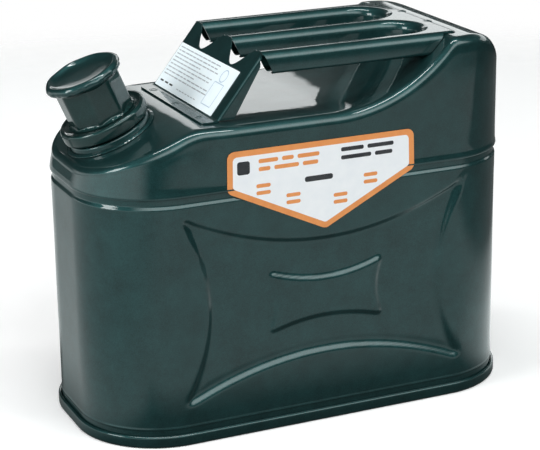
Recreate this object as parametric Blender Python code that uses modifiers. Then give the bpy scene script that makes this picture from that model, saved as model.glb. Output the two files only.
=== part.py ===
"""Ten-litre pressed-steel fuel carrying can, built as an assembly of separate pieces.

Frame: origin on the ground at the middle of the can's overall length and width, +Z up,
+X towards the rear end of the carrying handle, -X towards the filler, -Y is the
labelled front. The pieces are modelled about the middle of the tank and moved by
OVERHANG at the end, because the cap overhangs the filler end.
All sizes below are millimetres; MM turns them into Blender's metres.
"""
import math

import bmesh
import bpy
from mathutils import Matrix, Vector

for old in list(bpy.data.objects):
    bpy.data.objects.remove(old, do_unlink=True)

MM = 0.001

# ---- driving dimensions ------------------------------------------------------
LENGTH, WIDTH = 335.0, 159.0        # tank wall, outside
HALF_LENGTH, HALF_WIDTH = LENGTH / 2, WIDTH / 2
CORNER_R = 61.5                     # corner radius of the tank in plan
SHEET = 0.8                         # tank sheet
GAP = 0.3                           # clearance between neighbouring pieces
OVERHANG = 2.5      # half of how far the cap stands out past the rear chime's mirror image

Z_SEAM = 184.5                      # lower lip of the top shell
Z_NECKED = 178.5                    # the body wall steps in above this height
NECKED_IN = 1.3                     # depth of that step
Z_BODY_TOP = 193.0                  # upper edge of the body wall, inside the top shell
Z_PAN = 9.0                         # floor of the recessed bottom
CHIME_H, CHIME_OUT = 8.6, 2.3       # rolled bottom seam

Z_DECK = 230.0                      # flat deck under the handle
X_CREASE = -95.0                    # the deck slopes down from here to the filler end
CREASE_BLEND = 9.0                  # rounding of the crease, to either side of it
TILT = 23.0                         # degrees: slope of the filler deck, tilt of the neck
X_RISE, RISE_R = 12.0, 122.0        # concave sweep from the deck up to the rear block
Z_TOP = 276.5                       # top of the handle sheet
HANDLE_T = 1.0                      # handle sheet
Z_BLOCK = Z_TOP - HANDLE_T - GAP    # top of the rear block
END_R = 46.0                        # rounding of the rear block's end, seen from the side
SHOULDER_R, SHOULDER_R_END = 7.0, 3.5   # deck's edge rounding, and the same at the filler end
SHOULDER_X, SHOULDER_RUN = -155.0, 45.0  # where that rounding starts to grow, and over how far

BAR_W, BAR_PITCH, BAR_H = 15.5, 57.0, 16.0
BAR_R_TOP, BAR_R_LOW = 6.4, 3.6     # rounding of the bars, above and below
HANDLE_W = 2 * (BAR_PITCH + BAR_W / 2)
HANDLE_CORNER_R = 7.0               # rear corners of the handle in plan
SLOT_W = BAR_PITCH - BAR_W
X_SLOT_END, X_PAD_END = 102.0, 121.0
X_FOOT, X_BEND = -73.8, -37.5       # front plate: foot line on the deck, bend at the top
FOOT_FLANGE, FOOT_CHAMFER = 10.5, 5.0
PLATE_FLANGE = 10.0
PLATE_HALF = 62.5                   # half width of the front plate
SCALLOP_HALF, SCALLOP_DEPTH = 22.4, 16.5

NECK_X = -129.8                     # where the neck's axis meets the sloping deck
NECK_R_IN, NECK_R_OUT = 14.2, 15.8
NECK_TOP = 38.0                     # along the neck's axis, as are all neck and cap heights
TURN_STEPS = 36                     # facets round each turned piece
CAP_FLAT, CAP_WALL = 22.6, 1.3      # centre to flat of the eight-sided grip, and its sheet
CAP_FOOT, CAP_HEAD = 16.2, 44.9     # lower and upper edge of the grip
CUP_R_OUT, CUP_R_IN = 18.9, 17.6    # threaded cup inside the grip

# ---- derived places ----------------------------------------------------------
SLOPE = math.tan(math.radians(TILT))
RISE_X_END = X_RISE + math.sqrt(RISE_R ** 2 - (RISE_R - (Z_BLOCK - Z_DECK)) ** 2)

# neck frame: origin where the neck's axis meets the deck, +Z along the axis
NECK_Z = Z_DECK + (NECK_X - X_CREASE) * SLOPE
NECK = (Matrix.Translation(Vector((NECK_X, 0, NECK_Z)) * MM)
        @ Matrix.Rotation(math.radians(-TILT), 4, "Y"))

# front plate frame: first axis across (+Y), second up the slope, third out of its front face
PLATE_ANGLE = math.atan2(Z_TOP - Z_DECK - 1.0, X_BEND - X_FOOT)
PLATE_COS, PLATE_SIN = math.cos(PLATE_ANGLE), math.sin(PLATE_ANGLE)
PLATE_LENGTH = (Z_TOP - (Z_DECK + GAP)) / PLATE_SIN
PLATE = Matrix.Translation(Vector((X_FOOT, 0, Z_DECK + GAP)) * MM) @ Matrix((
    (0, PLATE_COS, -PLATE_SIN, 0),
    (1, 0, 0, 0),
    (0, PLATE_SIN, PLATE_COS, 0),
    (0, 0, 0, 1)))

# turns a prism drawn in (x, z) on its side, so that it is extruded along Y
SIDE_ON = Matrix(((1, 0, 0, 0), (0, 0, 1, 0), (0, 1, 0, 0), (0, 0, 0, 1)))
MIRROR_Y = Matrix.Scale(-1, 4, (0, 1, 0))
CUT_HALF_W = 90.0                   # half length of cutters that pass right through in Y

# spot welds joining handle and top shell, one row at each end of the handle:
# shell and sheet are the outer faces of the two sheets, cut_at the middle of the handle's cutter
WELD_ROWS = (
    {"name": "front", "x": X_FOOT - 5.6, "ys": (45.0, 0.0, -45.0),
     "shell": Z_DECK, "sheet": Z_DECK + GAP + HANDLE_T, "cut_at": Z_DECK + 1},
    {"name": "rear", "x": 115.5, "ys": (20.5, -20.5),
     "shell": Z_BLOCK, "sheet": Z_TOP, "cut_at": Z_TOP},
)
WELD_R, WELD_HOLE_R, WELD_STEPS = 2.5, 2.8, 12
WELD_RECESS = 0.1                   # how far a nugget stays below the handle's face

# ---- collections and materials -----------------------------------------------
PARTS = bpy.data.collections.new("fuel_can")
CUTTERS = bpy.data.collections.new("cutters")
bpy.context.scene.collection.children.link(PARTS)
bpy.context.scene.collection.children.link(CUTTERS)


def material(name, colour, roughness, metallic=0.0):
    mat = bpy.data.materials.new(name)
    mat.use_nodes = True
    shader = mat.node_tree.nodes["Principled BSDF"]
    shader.inputs["Base Color"].default_value = (*colour, 1.0)
    shader.inputs["Roughness"].default_value = roughness
    shader.inputs["Metallic"].default_value = metallic
    mat.diffuse_color = (*colour, 1.0)
    return mat


PAINT = material("green_gloss_paint", colour=(0.030, 0.060, 0.062), roughness=0.18)
CAP_PAINT = material("green_cap_paint", colour=(0.028, 0.056, 0.056), roughness=0.22)
ZINC = material("zinc_plated_steel", colour=(0.62, 0.62, 0.58), roughness=0.35, metallic=1.0)
RUBBER = material("nitrile_rubber", colour=(0.02, 0.02, 0.022), roughness=0.7)
LABEL = material("label_face", colour=(0.86, 0.88, 0.90), roughness=0.35)


# ---- objects and modifiers ---------------------------------------------------
def set_material(mesh, mat):
    mesh.materials.clear()
    mesh.materials.append(mat)


def add_object(name, mesh, mat=None, collection=PARTS):
    obj = bpy.data.objects.new(name, mesh)
    collection.objects.link(obj)
    if mat:
        set_material(mesh, mat)
    return obj


def helper(name, mesh):
    obj = add_object(name, mesh, collection=CUTTERS)
    obj.hide_render = True
    obj.display_type = "WIRE"
    return obj


def shade(obj, sharp_angle):
    """Smooth shading, with edges steeper than sharp_angle degrees kept sharp."""
    obj.data.shade_smooth()
    obj.data.set_sharp_from_angle(angle=math.radians(sharp_angle))


def boolean(obj, other, operation="DIFFERENCE"):
    mod = obj.modifiers.new(operation.lower(), "BOOLEAN")
    mod.operation = operation
    mod.solver = "EXACT"
    mod.object = other


def applied(obj):
    """The object's mesh with its modifiers and placement applied, as a new mesh."""
    bpy.context.view_layer.update()
    graph = bpy.context.evaluated_depsgraph_get()
    mesh = bpy.data.meshes.new_from_object(obj.evaluated_get(graph), depsgraph=graph)
    mesh.transform(obj.matrix_world)
    return mesh


def bake(obj):
    """Applies the object's modifiers and placement in place."""
    mesh = applied(obj)
    obj.modifiers.clear()
    obj.matrix_world = Matrix.Identity(4)
    obj.data = mesh


def tidy(obj, distance=0.02):
    """Merges points a Boolean left nearly on top of each other."""
    bm = bmesh.new()
    bm.from_mesh(obj.data)
    bmesh.ops.remove_doubles(bm, verts=bm.verts, dist=distance * MM)
    bmesh.ops.dissolve_degenerate(bm, dist=distance * MM, edges=bm.edges)
    bm.to_mesh(obj.data)
    bm.free()


# ---- meshes ------------------------------------------------------------------
def write_outward(bm, mesh):
    """Writes bm into mesh with its normals outward, and frees it."""
    bmesh.ops.recalc_face_normals(bm, faces=bm.faces)
    bm.to_mesh(mesh)
    bm.free()
    return mesh


def new_mesh(name, bm):
    return write_outward(bm, bpy.data.meshes.new(name))


def placed(mesh, matrix):
    """Moves a mesh by matrix; normals are turned outward again in case it mirrors."""
    mesh.transform(matrix)
    bm = bmesh.new()
    bm.from_mesh(mesh)
    return write_outward(bm, mesh)


def join_rows(bm, rows):
    """Quads between neighbouring closed rows of points."""
    for lower, upper in zip(rows, rows[1:]):
        for i in range(len(lower)):
            j = (i + 1) % len(lower)
            bm.faces.new((lower[i], lower[j], upper[j], upper[i]))


def prism(name, outline, low, high, scale_high=(1.0, 1.0), centre=(0, 0)):
    """A closed prism: outline is a list of (u, v) in the XY plane, extruded from low to high.
    scale_high scales the far end's outline about centre."""
    bm = bmesh.new()
    face = bm.faces.new([bm.verts.new((u * MM, v * MM, low * MM)) for u, v in outline])
    made = bmesh.ops.extrude_face_region(bm, geom=[face])
    far_end = [item for item in made["geom"] if isinstance(item, bmesh.types.BMVert)]
    bmesh.ops.translate(bm, verts=far_end, vec=(0, 0, (high - low) * MM))
    if scale_high != (1.0, 1.0):
        for vert in far_end:
            vert.co.x = (centre[0] + (vert.co.x / MM - centre[0]) * scale_high[0]) * MM
            vert.co.y = (centre[1] + (vert.co.y / MM - centre[1]) * scale_high[1]) * MM
    return new_mesh(name, bm)


def side_prism(name, outline, y_low, y_high):
    """A prism drawn in (x, z) and extruded along Y."""
    return placed(prism(name, outline, y_low, y_high), SIDE_ON)


def cylinder_mesh(name, radius, low, high, segments, matrix=Matrix.Identity(4)):
    bm = bmesh.new()
    bmesh.ops.create_cone(
        bm, cap_ends=True, segments=segments, radius1=radius * MM, radius2=radius * MM,
        depth=(high - low) * MM,
        matrix=matrix @ Matrix.Translation((0, 0, (high + low) / 2 * MM)))
    return new_mesh(name, bm)


def turned(name, profile, mat):
    """A solid of revolution about the neck's axis. profile is a list of (radius, height);
    it is closed up unless both its ends lie on the axis."""
    bm = bmesh.new()
    points = [bm.verts.new((radius * MM, 0, z * MM)) for radius, z in profile]
    for start, end in zip(points, points[1:]):
        bm.edges.new((start, end))
    if profile[0][0] > 1e-6 or profile[-1][0] > 1e-6:
        bm.edges.new((points[-1], points[0]))
    obj = add_object(name, new_mesh(name, bm), mat)
    screw = obj.modifiers.new("turn", "SCREW")
    screw.steps = screw.render_steps = TURN_STEPS
    screw.use_merge_vertices = True
    screw.merge_threshold = 0.00001
    screw.use_smooth_shade = False
    obj.matrix_world = NECK
    bake(obj)
    bm = bmesh.new()
    bm.from_mesh(obj.data)
    bmesh.ops.remove_doubles(bm, verts=bm.verts, dist=0.000005)
    write_outward(bm, obj.data)
    shade(obj, 35)
    return obj


# ---- plan outline shared by every pressing -----------------------------------
def plan(xs, arc_steps, end_cells):
    """Points and outward normals round the tank's plan, anticlockwise from the filler end,
    and the number of points on the front side.
    The front side is [filler-end corner, xs, rear corner]; the back mirrors it."""
    corner_x, corner_y = HALF_LENGTH - CORNER_R, HALF_WIDTH - CORNER_R

    def corner(centre_x, start_degrees):
        points = []
        for k in range(arc_steps + 1):
            angle = math.radians(start_degrees + 90 * k / arc_steps)
            nx, ny = math.cos(angle), math.sin(angle)
            points.append((centre_x + CORNER_R * nx, -corner_y + CORNER_R * ny, nx, ny))
        return points

    front = corner(-corner_x, 180)
    front += [(x, -HALF_WIDTH, 0.0, -1.0) for x in xs]
    front += corner(corner_x, 270)
    end_ys = [-corner_y + 2 * corner_y * k / end_cells for k in range(1, end_cells)]
    rear = [(HALF_LENGTH, y, 1.0, 0.0) for y in end_ys]
    back = [(x, -y, nx, -ny) for x, y, nx, ny in reversed(front)]
    filler = [(-HALF_LENGTH, -y, -1.0, 0.0) for y in end_ys]
    return front + rear + back + filler, len(front)


def ring(loop, offset, z):
    """The plan outline moved outwards by offset, at height z."""
    return [(x + nx * offset, y + ny * offset, z) for x, y, nx, ny in loop]


def add_rings(bm, rings):
    """Adds the points of each ring and joins the rings into a wall."""
    rows = [[bm.verts.new(Vector(point) * MM) for point in points] for points in rings]
    join_rows(bm, rows)
    return rows


def stacked(name, loop, levels):
    """A closed solid through loops of (offset, height)."""
    bm = bmesh.new()
    rows = add_rings(bm, [ring(loop, offset, z) for offset, z in levels])
    bm.faces.new(list(reversed(rows[0])))
    bm.faces.new(rows[-1])
    return new_mesh(name, bm)


def skin(name, loop, count, end_cells, rings, cover_height, side):
    """A pressed sheet: a wall through rings of points, its last ring closed by a grid.
    count is the number of points on the front side, end_cells the grid's cells across,
    cover_height(x) the grid's height and side the Solidify offset."""
    bm = bmesh.new()
    inner = add_rings(bm, rings)[-1]
    total = len(inner)
    grid = []
    for i in range(count):
        front, back = inner[i], inner[total - end_cells - i]
        column = [front]
        for j in range(1, end_cells):
            if i == 0:
                column.append(inner[total - j])
            elif i == count - 1:
                column.append(inner[count - 1 + j])
            else:
                share = j / end_cells
                x = front.co.x / MM
                y = (front.co.y * (1 - share) + back.co.y * share) / MM
                column.append(bm.verts.new(Vector((x, y, cover_height(x))) * MM))
        column.append(back)
        grid.append(column)
    for left, right in zip(grid, grid[1:]):
        for j in range(end_cells):
            bm.faces.new((left[j], right[j], right[j + 1], left[j + 1]))
    obj = add_object(name, new_mesh(name, bm), PAINT)
    solid = obj.modifiers.new("sheet", "SOLIDIFY")
    solid.thickness = SHEET * MM
    solid.offset = side
    solid.use_even_offset = True
    return obj


# ---- pressed side panels -----------------------------------------------------
PANEL_X, PANEL_DEPTH = 3.5, 2.5         # centre along X, depth of the pressing
PANEL_HALF = 115.0                      # half length of the outer outline
PANEL_TAPER = 5.0                       # how far its edge slopes in over the depth
PANEL_REACH = 3.0                       # how far the cutter stands out of the wall
WIDEN_Z, WIDEN_HALF = 99.0, 73.0        # centre and half height used to widen the cutter
ISLAND_TAPER = 4.2                      # slope of the raised middle's edge
ISLAND_BELOW = 0.3                      # how far its face stays behind the wall's


def pincushion(half, low, high, sag_side, sag_low, sag_high, corner, steps):
    """A four-sided outline about PANEL_X whose sides bow inwards, with rounded corners,
    anticlockwise in (x, z)."""
    samples = 24

    def bowed(start, end, sag):
        dx, dz = end[0] - start[0], end[1] - start[1]
        length = math.hypot(dx, dz)
        nx, nz = -dz / length, dx / length
        points = []
        for k in range(samples + 1):
            t = k / samples
            bow = sag * 4 * t * (1 - t)
            points.append((start[0] + dx * t + nx * bow, start[1] + dz * t + nz * bow))
        return points

    left, right = PANEL_X - half, PANEL_X + half
    corners = [(left, low), (right, low), (right, high), (left, high)]
    sides = []
    for k, sag in enumerate((sag_low, sag_side, sag_high, sag_side)):
        start, end = corners[k], corners[(k + 1) % 4]
        sides.append([point for point in bowed(start, end, sag)
                      if math.dist(point, start) > corner and math.dist(point, end) > corner])
    outline = []
    for k, side in enumerate(sides):
        chosen = side[::max(1, len(side) // steps)]
        if chosen[-1] != side[-1]:
            chosen.append(side[-1])
        outline += chosen
        # rounding of the corner this side ends at
        last, apex, first = side[-1], corners[(k + 1) % 4], sides[(k + 1) % 4][0]
        for t in (0.25, 0.5, 0.75):
            outline.append(tuple(
                (1 - t) ** 2 * last[i] + 2 * t * (1 - t) * apex[i] + t * t * first[i]
                for i in (0, 1)))
    return outline


OUTER_PANEL = pincushion(PANEL_HALF, low=25.5, high=172.0, sag_side=23.0, sag_low=28.0,
                         sag_high=31.0, corner=15.0, steps=9)
INNER_PANEL = pincushion(45.5, low=73.5, high=119.5, sag_side=5.0, sag_low=7.5,
                         sag_high=9.0, corner=6.0, steps=6)


def tapered(name, outline, y_wide, y_narrow, inset):
    """A prism in Y whose (x, z) outline shrinks by inset from y_wide to y_narrow."""
    centre_x = sum(x for x, z in outline) / len(outline)
    centre_z = sum(z for x, z in outline) / len(outline)
    half_x = max(abs(x - centre_x) for x, z in outline)
    half_z = max(abs(z - centre_z) for x, z in outline)
    mesh = prism(name, outline, 0.0, abs(y_narrow - y_wide),
                 ((half_x - inset) / half_x, (half_z - inset) / half_z), (centre_x, centre_z))
    sign = 1.0 if y_narrow > y_wide else -1.0
    to_side = Matrix(((1, 0, 0, 0), (0, 0, sign, y_wide * MM), (0, 1, 0, 0), (0, 0, 0, 1)))
    return helper(name, placed(mesh, to_side))


def panel_cutter(name, face, grow):
    """The recess that one pressed side panel makes behind the plane y = face (front side),
    its outline enlarged by grow."""
    share = (PANEL_DEPTH + PANEL_REACH) / PANEL_DEPTH
    cutter = tapered(name, OUTER_PANEL, face - PANEL_REACH, face + PANEL_DEPTH,
                     PANEL_TAPER * share)
    # widen so that the outline at y = face is about the panel's own outline
    widen = PANEL_TAPER * PANEL_REACH / PANEL_DEPTH + grow
    centre_x, centre_z = PANEL_X * MM, WIDEN_Z * MM
    for v in cutter.data.vertices:
        v.co.x = centre_x + (v.co.x - centre_x) * (PANEL_HALF + widen) / PANEL_HALF
        v.co.z = centre_z + (v.co.z - centre_z) * (WIDEN_HALF + widen) / WIDEN_HALF
    boolean(cutter, tapered(name + "_island", INNER_PANEL, face + PANEL_DEPTH + 1.0,
                            face + ISLAND_BELOW, ISLAND_TAPER))
    return cutter


# ---- tank body: wall with necked top, inturned step at the top, flanged foot ---
WALL_ARC_STEPS = 10

# (offset from the tank wall, height), from the bottom up
BODY_OUTSIDE = [
    (1.4, 1.3), (1.4, 2.1), (0.5, 2.1), (0.0, 2.9),         # foot flange
    (0.0, 12.8), (0.35, 13.6), (0.0, 14.4),                 # low bead above the chime
    (0.0, Z_NECKED), (-0.4, Z_NECKED + 0.8),
    (-NECKED_IN, Z_NECKED + 1.7), (-NECKED_IN, Z_BODY_TOP),
]
BODY_INSIDE = [
    (-SHEET, 0.3), (-SHEET, Z_NECKED - 0.3), (-0.4 - SHEET, Z_NECKED + 0.5),
    (-NECKED_IN - SHEET, Z_NECKED + 1.5), (-NECKED_IN - SHEET, Z_BODY_TOP + 2),
]


def panelled(name, levels, panel_name, face, grow=0.0):
    """A solid through levels with a side panel pressed into its front and its back."""
    loop, _ = plan([], WALL_ARC_STEPS, 1)
    solid = helper(name, stacked(name, loop, levels))
    cutter = panel_cutter(panel_name, face, grow)
    boolean(solid, cutter)
    boolean(solid, helper(panel_name + "_back", placed(applied(cutter), MIRROR_Y)))
    bake(solid)
    tidy(solid)
    return solid


def build_body_shell():
    outside = panelled("body_outer", BODY_OUTSIDE, "panel_outside", -HALF_WIDTH)
    inside = panelled("body_void", BODY_INSIDE, "panel_inside", -HALF_WIDTH + SHEET, grow=0.6)
    shell = add_object("body_shell", outside.data.copy(), PAINT)
    boolean(shell, inside)
    bake(shell)
    tidy(shell)
    shade(shell, 25)


# ---- recessed bottom with its rolled chime -----------------------------------
# (offset from the tank wall, height), from the chime's upper lip inwards to the floor
PAN_PATH = [
    (0.75, CHIME_H - 0.2), (1.8, CHIME_H - 0.35), (CHIME_OUT, CHIME_H - 1.1), (CHIME_OUT, 1.2),
    (1.5, 0.4), (-0.9, 0.4), (-1.65, 1.3), (-1.65, Z_PAN - 0.9), (-2.3, Z_PAN), (-9.0, Z_PAN),
]


def build_bottom_pan():
    end_cells = 2
    loop, count = plan([], WALL_ARC_STEPS, end_cells)
    rings = [ring(loop, offset, z) for offset, z in PAN_PATH]
    pan = skin("bottom_pan", loop, count, end_cells, rings, lambda x: Z_PAN, side=0.0)
    bake(pan)
    shade(pan, 40)
    # the edge it stands on lies in one plane
    for v in pan.data.vertices:
        if v.co.z < 0.3 * MM:
            v.co.z = 0.0


# ---- top shell: skirt, sloping filler deck, flat deck, rear block ------------
# x of the cross-sections between the corners
STATIONS = [
    -104.0, -99.0, -95.0, -91.0, -86.0, -50.0, X_RISE,
    28.0, 40.0, 52.0, 63.0, 73.0, 82.0, 90.0, 97.0, RISE_X_END - 1.5,
]


def deck_height(x):
    """Outer surface of the top shell along its length."""
    if x < X_CREASE - CREASE_BLEND:
        return Z_DECK + (x - X_CREASE) * SLOPE
    if x < X_CREASE + CREASE_BLEND:
        t = (x - X_CREASE + CREASE_BLEND) / (2 * CREASE_BLEND)
        return Z_DECK - SLOPE * CREASE_BLEND * (1 - t) ** 2
    if x < X_RISE:
        return Z_DECK
    if x < RISE_X_END:
        return Z_DECK + RISE_R - math.sqrt(RISE_R ** 2 - (x - X_RISE) ** 2)
    if x < HALF_LENGTH - END_R:
        return Z_BLOCK
    along = x - (HALF_LENGTH - END_R)
    return Z_BLOCK - END_R + math.sqrt(max(0.0, END_R ** 2 - along ** 2))


def shoulder_radius(x):
    t = min(1.0, max(0.0, (x - SHOULDER_X) / SHOULDER_RUN))
    return SHOULDER_R_END + (SHOULDER_R - SHOULDER_R_END) * t * t * (3 - 2 * t)


def shoulder(loop, share):
    """One loop of the rounded shoulder; share 0 is the top of the wall, 1 the deck's edge."""
    angle = math.radians(90 * share)
    points = []
    for x, y, nx, ny in loop:
        radius = shoulder_radius(x)
        inset = radius * (1 - math.cos(angle))
        drop = radius * (1 - math.sin(angle))
        inset_x = x - nx * inset
        points.append((inset_x, y - ny * inset, deck_height(inset_x) - drop))
    return points


def cut_welds(obj, prefix, level, reach):
    """Cuts a hole for every spot weld, reaching both ways from the row's named level."""
    spots = [(row, y) for row in WELD_ROWS for y in row["ys"]]
    for n, (row, y) in enumerate(spots):
        name, z = f"{prefix}_{n}", row[level]
        place = Matrix.Translation((row["x"] * MM, y * MM, 0))
        boolean(obj, helper(name, cylinder_mesh(
            name, WELD_HOLE_R, z - reach, z + reach, WELD_STEPS, place)))


def build_top_shell():
    end_cells = 6
    loop, count = plan(STATIONS, 9, end_cells)
    rings = [ring(loop, 0.0, Z_SEAM)]
    rings += [shoulder(loop, share) for share in (0.0, 0.3, 0.6, 1.0)]
    shell = skin("top_shell", loop, count, end_cells, rings, deck_height, side=-1.0)
    neck_hole = cylinder_mesh("neck_hole", NECK_R_OUT + GAP, -12, 12, 32, NECK)
    boolean(shell, helper("neck_hole", neck_hole))
    cut_welds(shell, "weld_hole", "shell", 5)
    bake(shell)
    shade(shell, 40)


# ---- three-bar carrying handle pressed from one sheet ------------------------
Z_BAR_LOW = Z_TOP - BAR_H
X_PAST_BEND = X_BEND - 12           # front of the cutters that open the bars' front ends
MOUTH_INSET = 4.4                   # lip left round the open underside of the bars
X_CLEAR_START, X_CLEAR_END = 55.0, 160.0    # extent of the rear block's clearance
FLANGE_LOW = 1.2                    # side flanges' lower edge above the foot of the plate


def comb(inset, x_front):
    """Plan of the handle: three bars open at the front, joined by the pad at the rear.
    inset moves every edge inwards except the front one."""
    half = HANDLE_W / 2 - inset
    slot_r = SLOT_W / 2 + inset
    slot_x = X_SLOT_END - SLOT_W / 2
    corner = HANDLE_CORNER_R - inset
    x_corner = X_PAD_END - inset - corner
    points = [(x_front, -half), (x_corner, -half)]
    for angle in (math.radians(a) for a in (30, 60, 90)):
        points.append((x_corner + corner * math.sin(angle),
                       -half + corner * (1 - math.cos(angle))))
    for angle in (math.radians(a) for a in (0, 30, 60)):
        points.append((x_corner + corner * math.cos(angle),
                       half - corner * (1 - math.sin(angle))))
    points += [(x_corner, half), (x_front, half)]
    for centre in (BAR_PITCH / 2, -BAR_PITCH / 2):
        points.append((x_front, centre + slot_r))
        for k in range(11):
            angle = math.radians(90 - 180 * k / 10)
            points.append((slot_x + slot_r * math.cos(angle),
                           centre + slot_r * math.sin(angle)))
        points.append((x_front, centre - slot_r))
    return points


def rounded_comb(name, inset, x_front):
    """The bars as a solid with their long edges rounded, every face moved in by inset."""
    low, high = Z_BAR_LOW + inset, Z_TOP - inset
    mesh = prism(name, comb(inset, x_front), low, high)
    bm = bmesh.new()
    bm.from_mesh(mesh)
    for level, radius, segments in ((high, BAR_R_TOP - inset, 3), (low, BAR_R_LOW - inset, 2)):
        edges = [e for e in bm.edges
                 if all(abs(v.co.z - level * MM) < 1e-7 for v in e.verts)
                 and not all(abs(v.co.x - x_front * MM) < 1e-7 for v in e.verts)]
        bmesh.ops.bevel(bm, geom=edges, offset=radius * MM, segments=segments, profile=0.5,
                        affect="EDGES")
    return helper(name, write_outward(bm, mesh))


def notch_outline():
    """Cut in (x, z) that slants the front ends of the bars' sides, below the bend."""
    low, high = Z_BAR_LOW - 5, Z_TOP - 1.3
    return [(X_BEND - 20, low), (X_BEND + 10.5, low), (X_BEND + 0.9, high), (X_BEND - 20, high)]


def block_outline():
    """Everything the rear block occupies, with clearance, in (x, z)."""
    low, high = Z_DECK - 20, Z_BLOCK + GAP
    x_top = RISE_X_END - 0.2
    points = [(X_CLEAR_START, low), (X_CLEAR_END, low), (X_CLEAR_END, high), (x_top, high)]
    for k in range(1, 10):
        x = x_top - (RISE_X_END - X_CLEAR_START) * k / 9
        points.append((x - 0.25, deck_height(x) + GAP + 0.15))
    return points


def plate_outline():
    """Front plate: straight sides, rounded upper corners and a bell-shaped scallop under
    each gap between the bars."""
    half, top = PLATE_HALF, PLATE_LENGTH - 0.2
    foot = HANDLE_T / math.tan(PLATE_ANGLE) + 0.05
    corner = [(half, top - 6.0), (half - 1.1, top - 2.6), (half - 3.6, top - 0.7)]
    points = [(-half, foot), (half, foot)] + corner + [(BAR_PITCH, top)]
    for centre in (BAR_PITCH / 2, -BAR_PITCH / 2):
        for k in range(15):
            across = 1 - 2 * k / 14
            dip = SCALLOP_DEPTH * math.cos(math.pi / 2 * across) ** 1.5
            points.append((centre + SCALLOP_HALF * across, top - 0.9 - dip))
        points.append((centre - BAR_PITCH / 2, top))
    return points + [(-u, v) for u, v in reversed(corner)]


def flange_outline():
    """Side flange of the front plate, in (x, z)."""
    def on_plate(along, behind):
        return (X_FOOT + along * PLATE_COS + behind * PLATE_SIN,
                Z_DECK + GAP + along * PLATE_SIN - behind * PLATE_COS)

    return [
        on_plate((FLANGE_LOW + 0.35 * PLATE_COS) / PLATE_SIN, 0.35),
        on_plate(PLATE_LENGTH - 6.4, 0.35),
        on_plate(PLATE_LENGTH - 7.2, 2.6),
        on_plate(PLATE_LENGTH - 9.5, 4.6),
        (X_FOOT + (PLATE_FLANGE + FLANGE_LOW * PLATE_COS) / PLATE_SIN,
         Z_DECK + GAP + FLANGE_LOW),
    ]


def foot_outline():
    """Foot flange lying on the deck, in plan, with its two front corners cut off."""
    x_front, x_back = X_FOOT - FOOT_FLANGE, X_FOOT + 1.2
    return [
        (x_front, -PLATE_HALF + FOOT_CHAMFER), (x_front + FOOT_CHAMFER, -PLATE_HALF),
        (x_back, -PLATE_HALF), (x_back, PLATE_HALF),
        (x_front + FOOT_CHAMFER, PLATE_HALF), (x_front, PLATE_HALF - FOOT_CHAMFER),
    ]


def build_handle_plate():
    handle = rounded_comb("handle_outer", 0.0, X_BEND)
    boolean(handle, rounded_comb("handle_hollow", HANDLE_T, X_PAST_BEND))
    boolean(handle, helper("handle_mouth", prism(
        "handle_mouth", comb(MOUTH_INSET, X_PAST_BEND),
        Z_BAR_LOW - 2, Z_BAR_LOW + HANDLE_T + 0.5)))
    for name, outline in (("handle_notch", notch_outline()),
                          ("block_clearance", block_outline())):
        boolean(handle, helper(name, side_prism(name, outline, -CUT_HALF_W, CUT_HALF_W)))
    bake(handle)
    tidy(handle)

    plate = placed(prism("front_plate", plate_outline(), -HANDLE_T, 0.0), PLATE)
    boolean(handle, helper("front_plate", plate), "UNION")
    # each flange sits just inside the plate's edge
    for side, y in (("left", PLATE_HALF - HANDLE_T - 0.03), ("right", -PLATE_HALF + 0.03)):
        name = f"plate_flange_{side}"
        flange = side_prism(name, flange_outline(), y, y + HANDLE_T)
        boolean(handle, helper(name, flange), "UNION")
    foot = prism("foot_flange", foot_outline(), Z_DECK + GAP, Z_DECK + GAP + HANDLE_T)
    boolean(handle, helper("foot_flange", foot), "UNION")
    cut_welds(handle, "weld_cut", "cut_at", 3)

    finished = add_object("handle_plate", applied(handle), PAINT)
    tidy(finished)
    shade(finished, 35)


def build_spot_welds():
    """Nuggets that join the handle to the top shell."""
    for row in WELD_ROWS:
        low, high = row["shell"] - SHEET, row["sheet"]
        half = (high - low - WELD_RECESS) / 2
        for n, y in enumerate(row["ys"], start=1):
            mesh = cylinder_mesh("nugget", WELD_R, -half, half, WELD_STEPS)
            nugget = add_object(f"spot_weld_{row['name']}_{n}", mesh, PAINT)
            shade(nugget, 40)
            nugget.location = Vector((row["x"], y, (low + high) / 2 - WELD_RECESS / 2)) * MM


# ---- filler neck and cap -----------------------------------------------------
THREAD_PITCH, THREAD_TURNS = 4.0, 2.5
THREAD_STEPS, THREAD_SIDES = 24, 6      # steps per turn, sides of the ridge's section

# closed (radius, height) outlines in the neck's frame
NECK_PROFILE = [
    (NECK_R_IN, NECK_TOP), (NECK_R_OUT, NECK_TOP), (NECK_R_OUT, -1.2),
    (20.5, -1.2), (20.5, -2.6), (NECK_R_IN, -2.6),
]
CUP_PROFILE = [
    (CUP_R_OUT, 9.4), (CUP_R_OUT, CAP_HEAD), (0, CAP_HEAD), (0, 42.6), (CUP_R_IN, 42.6),
    (CUP_R_IN, 9.4),
]
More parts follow.
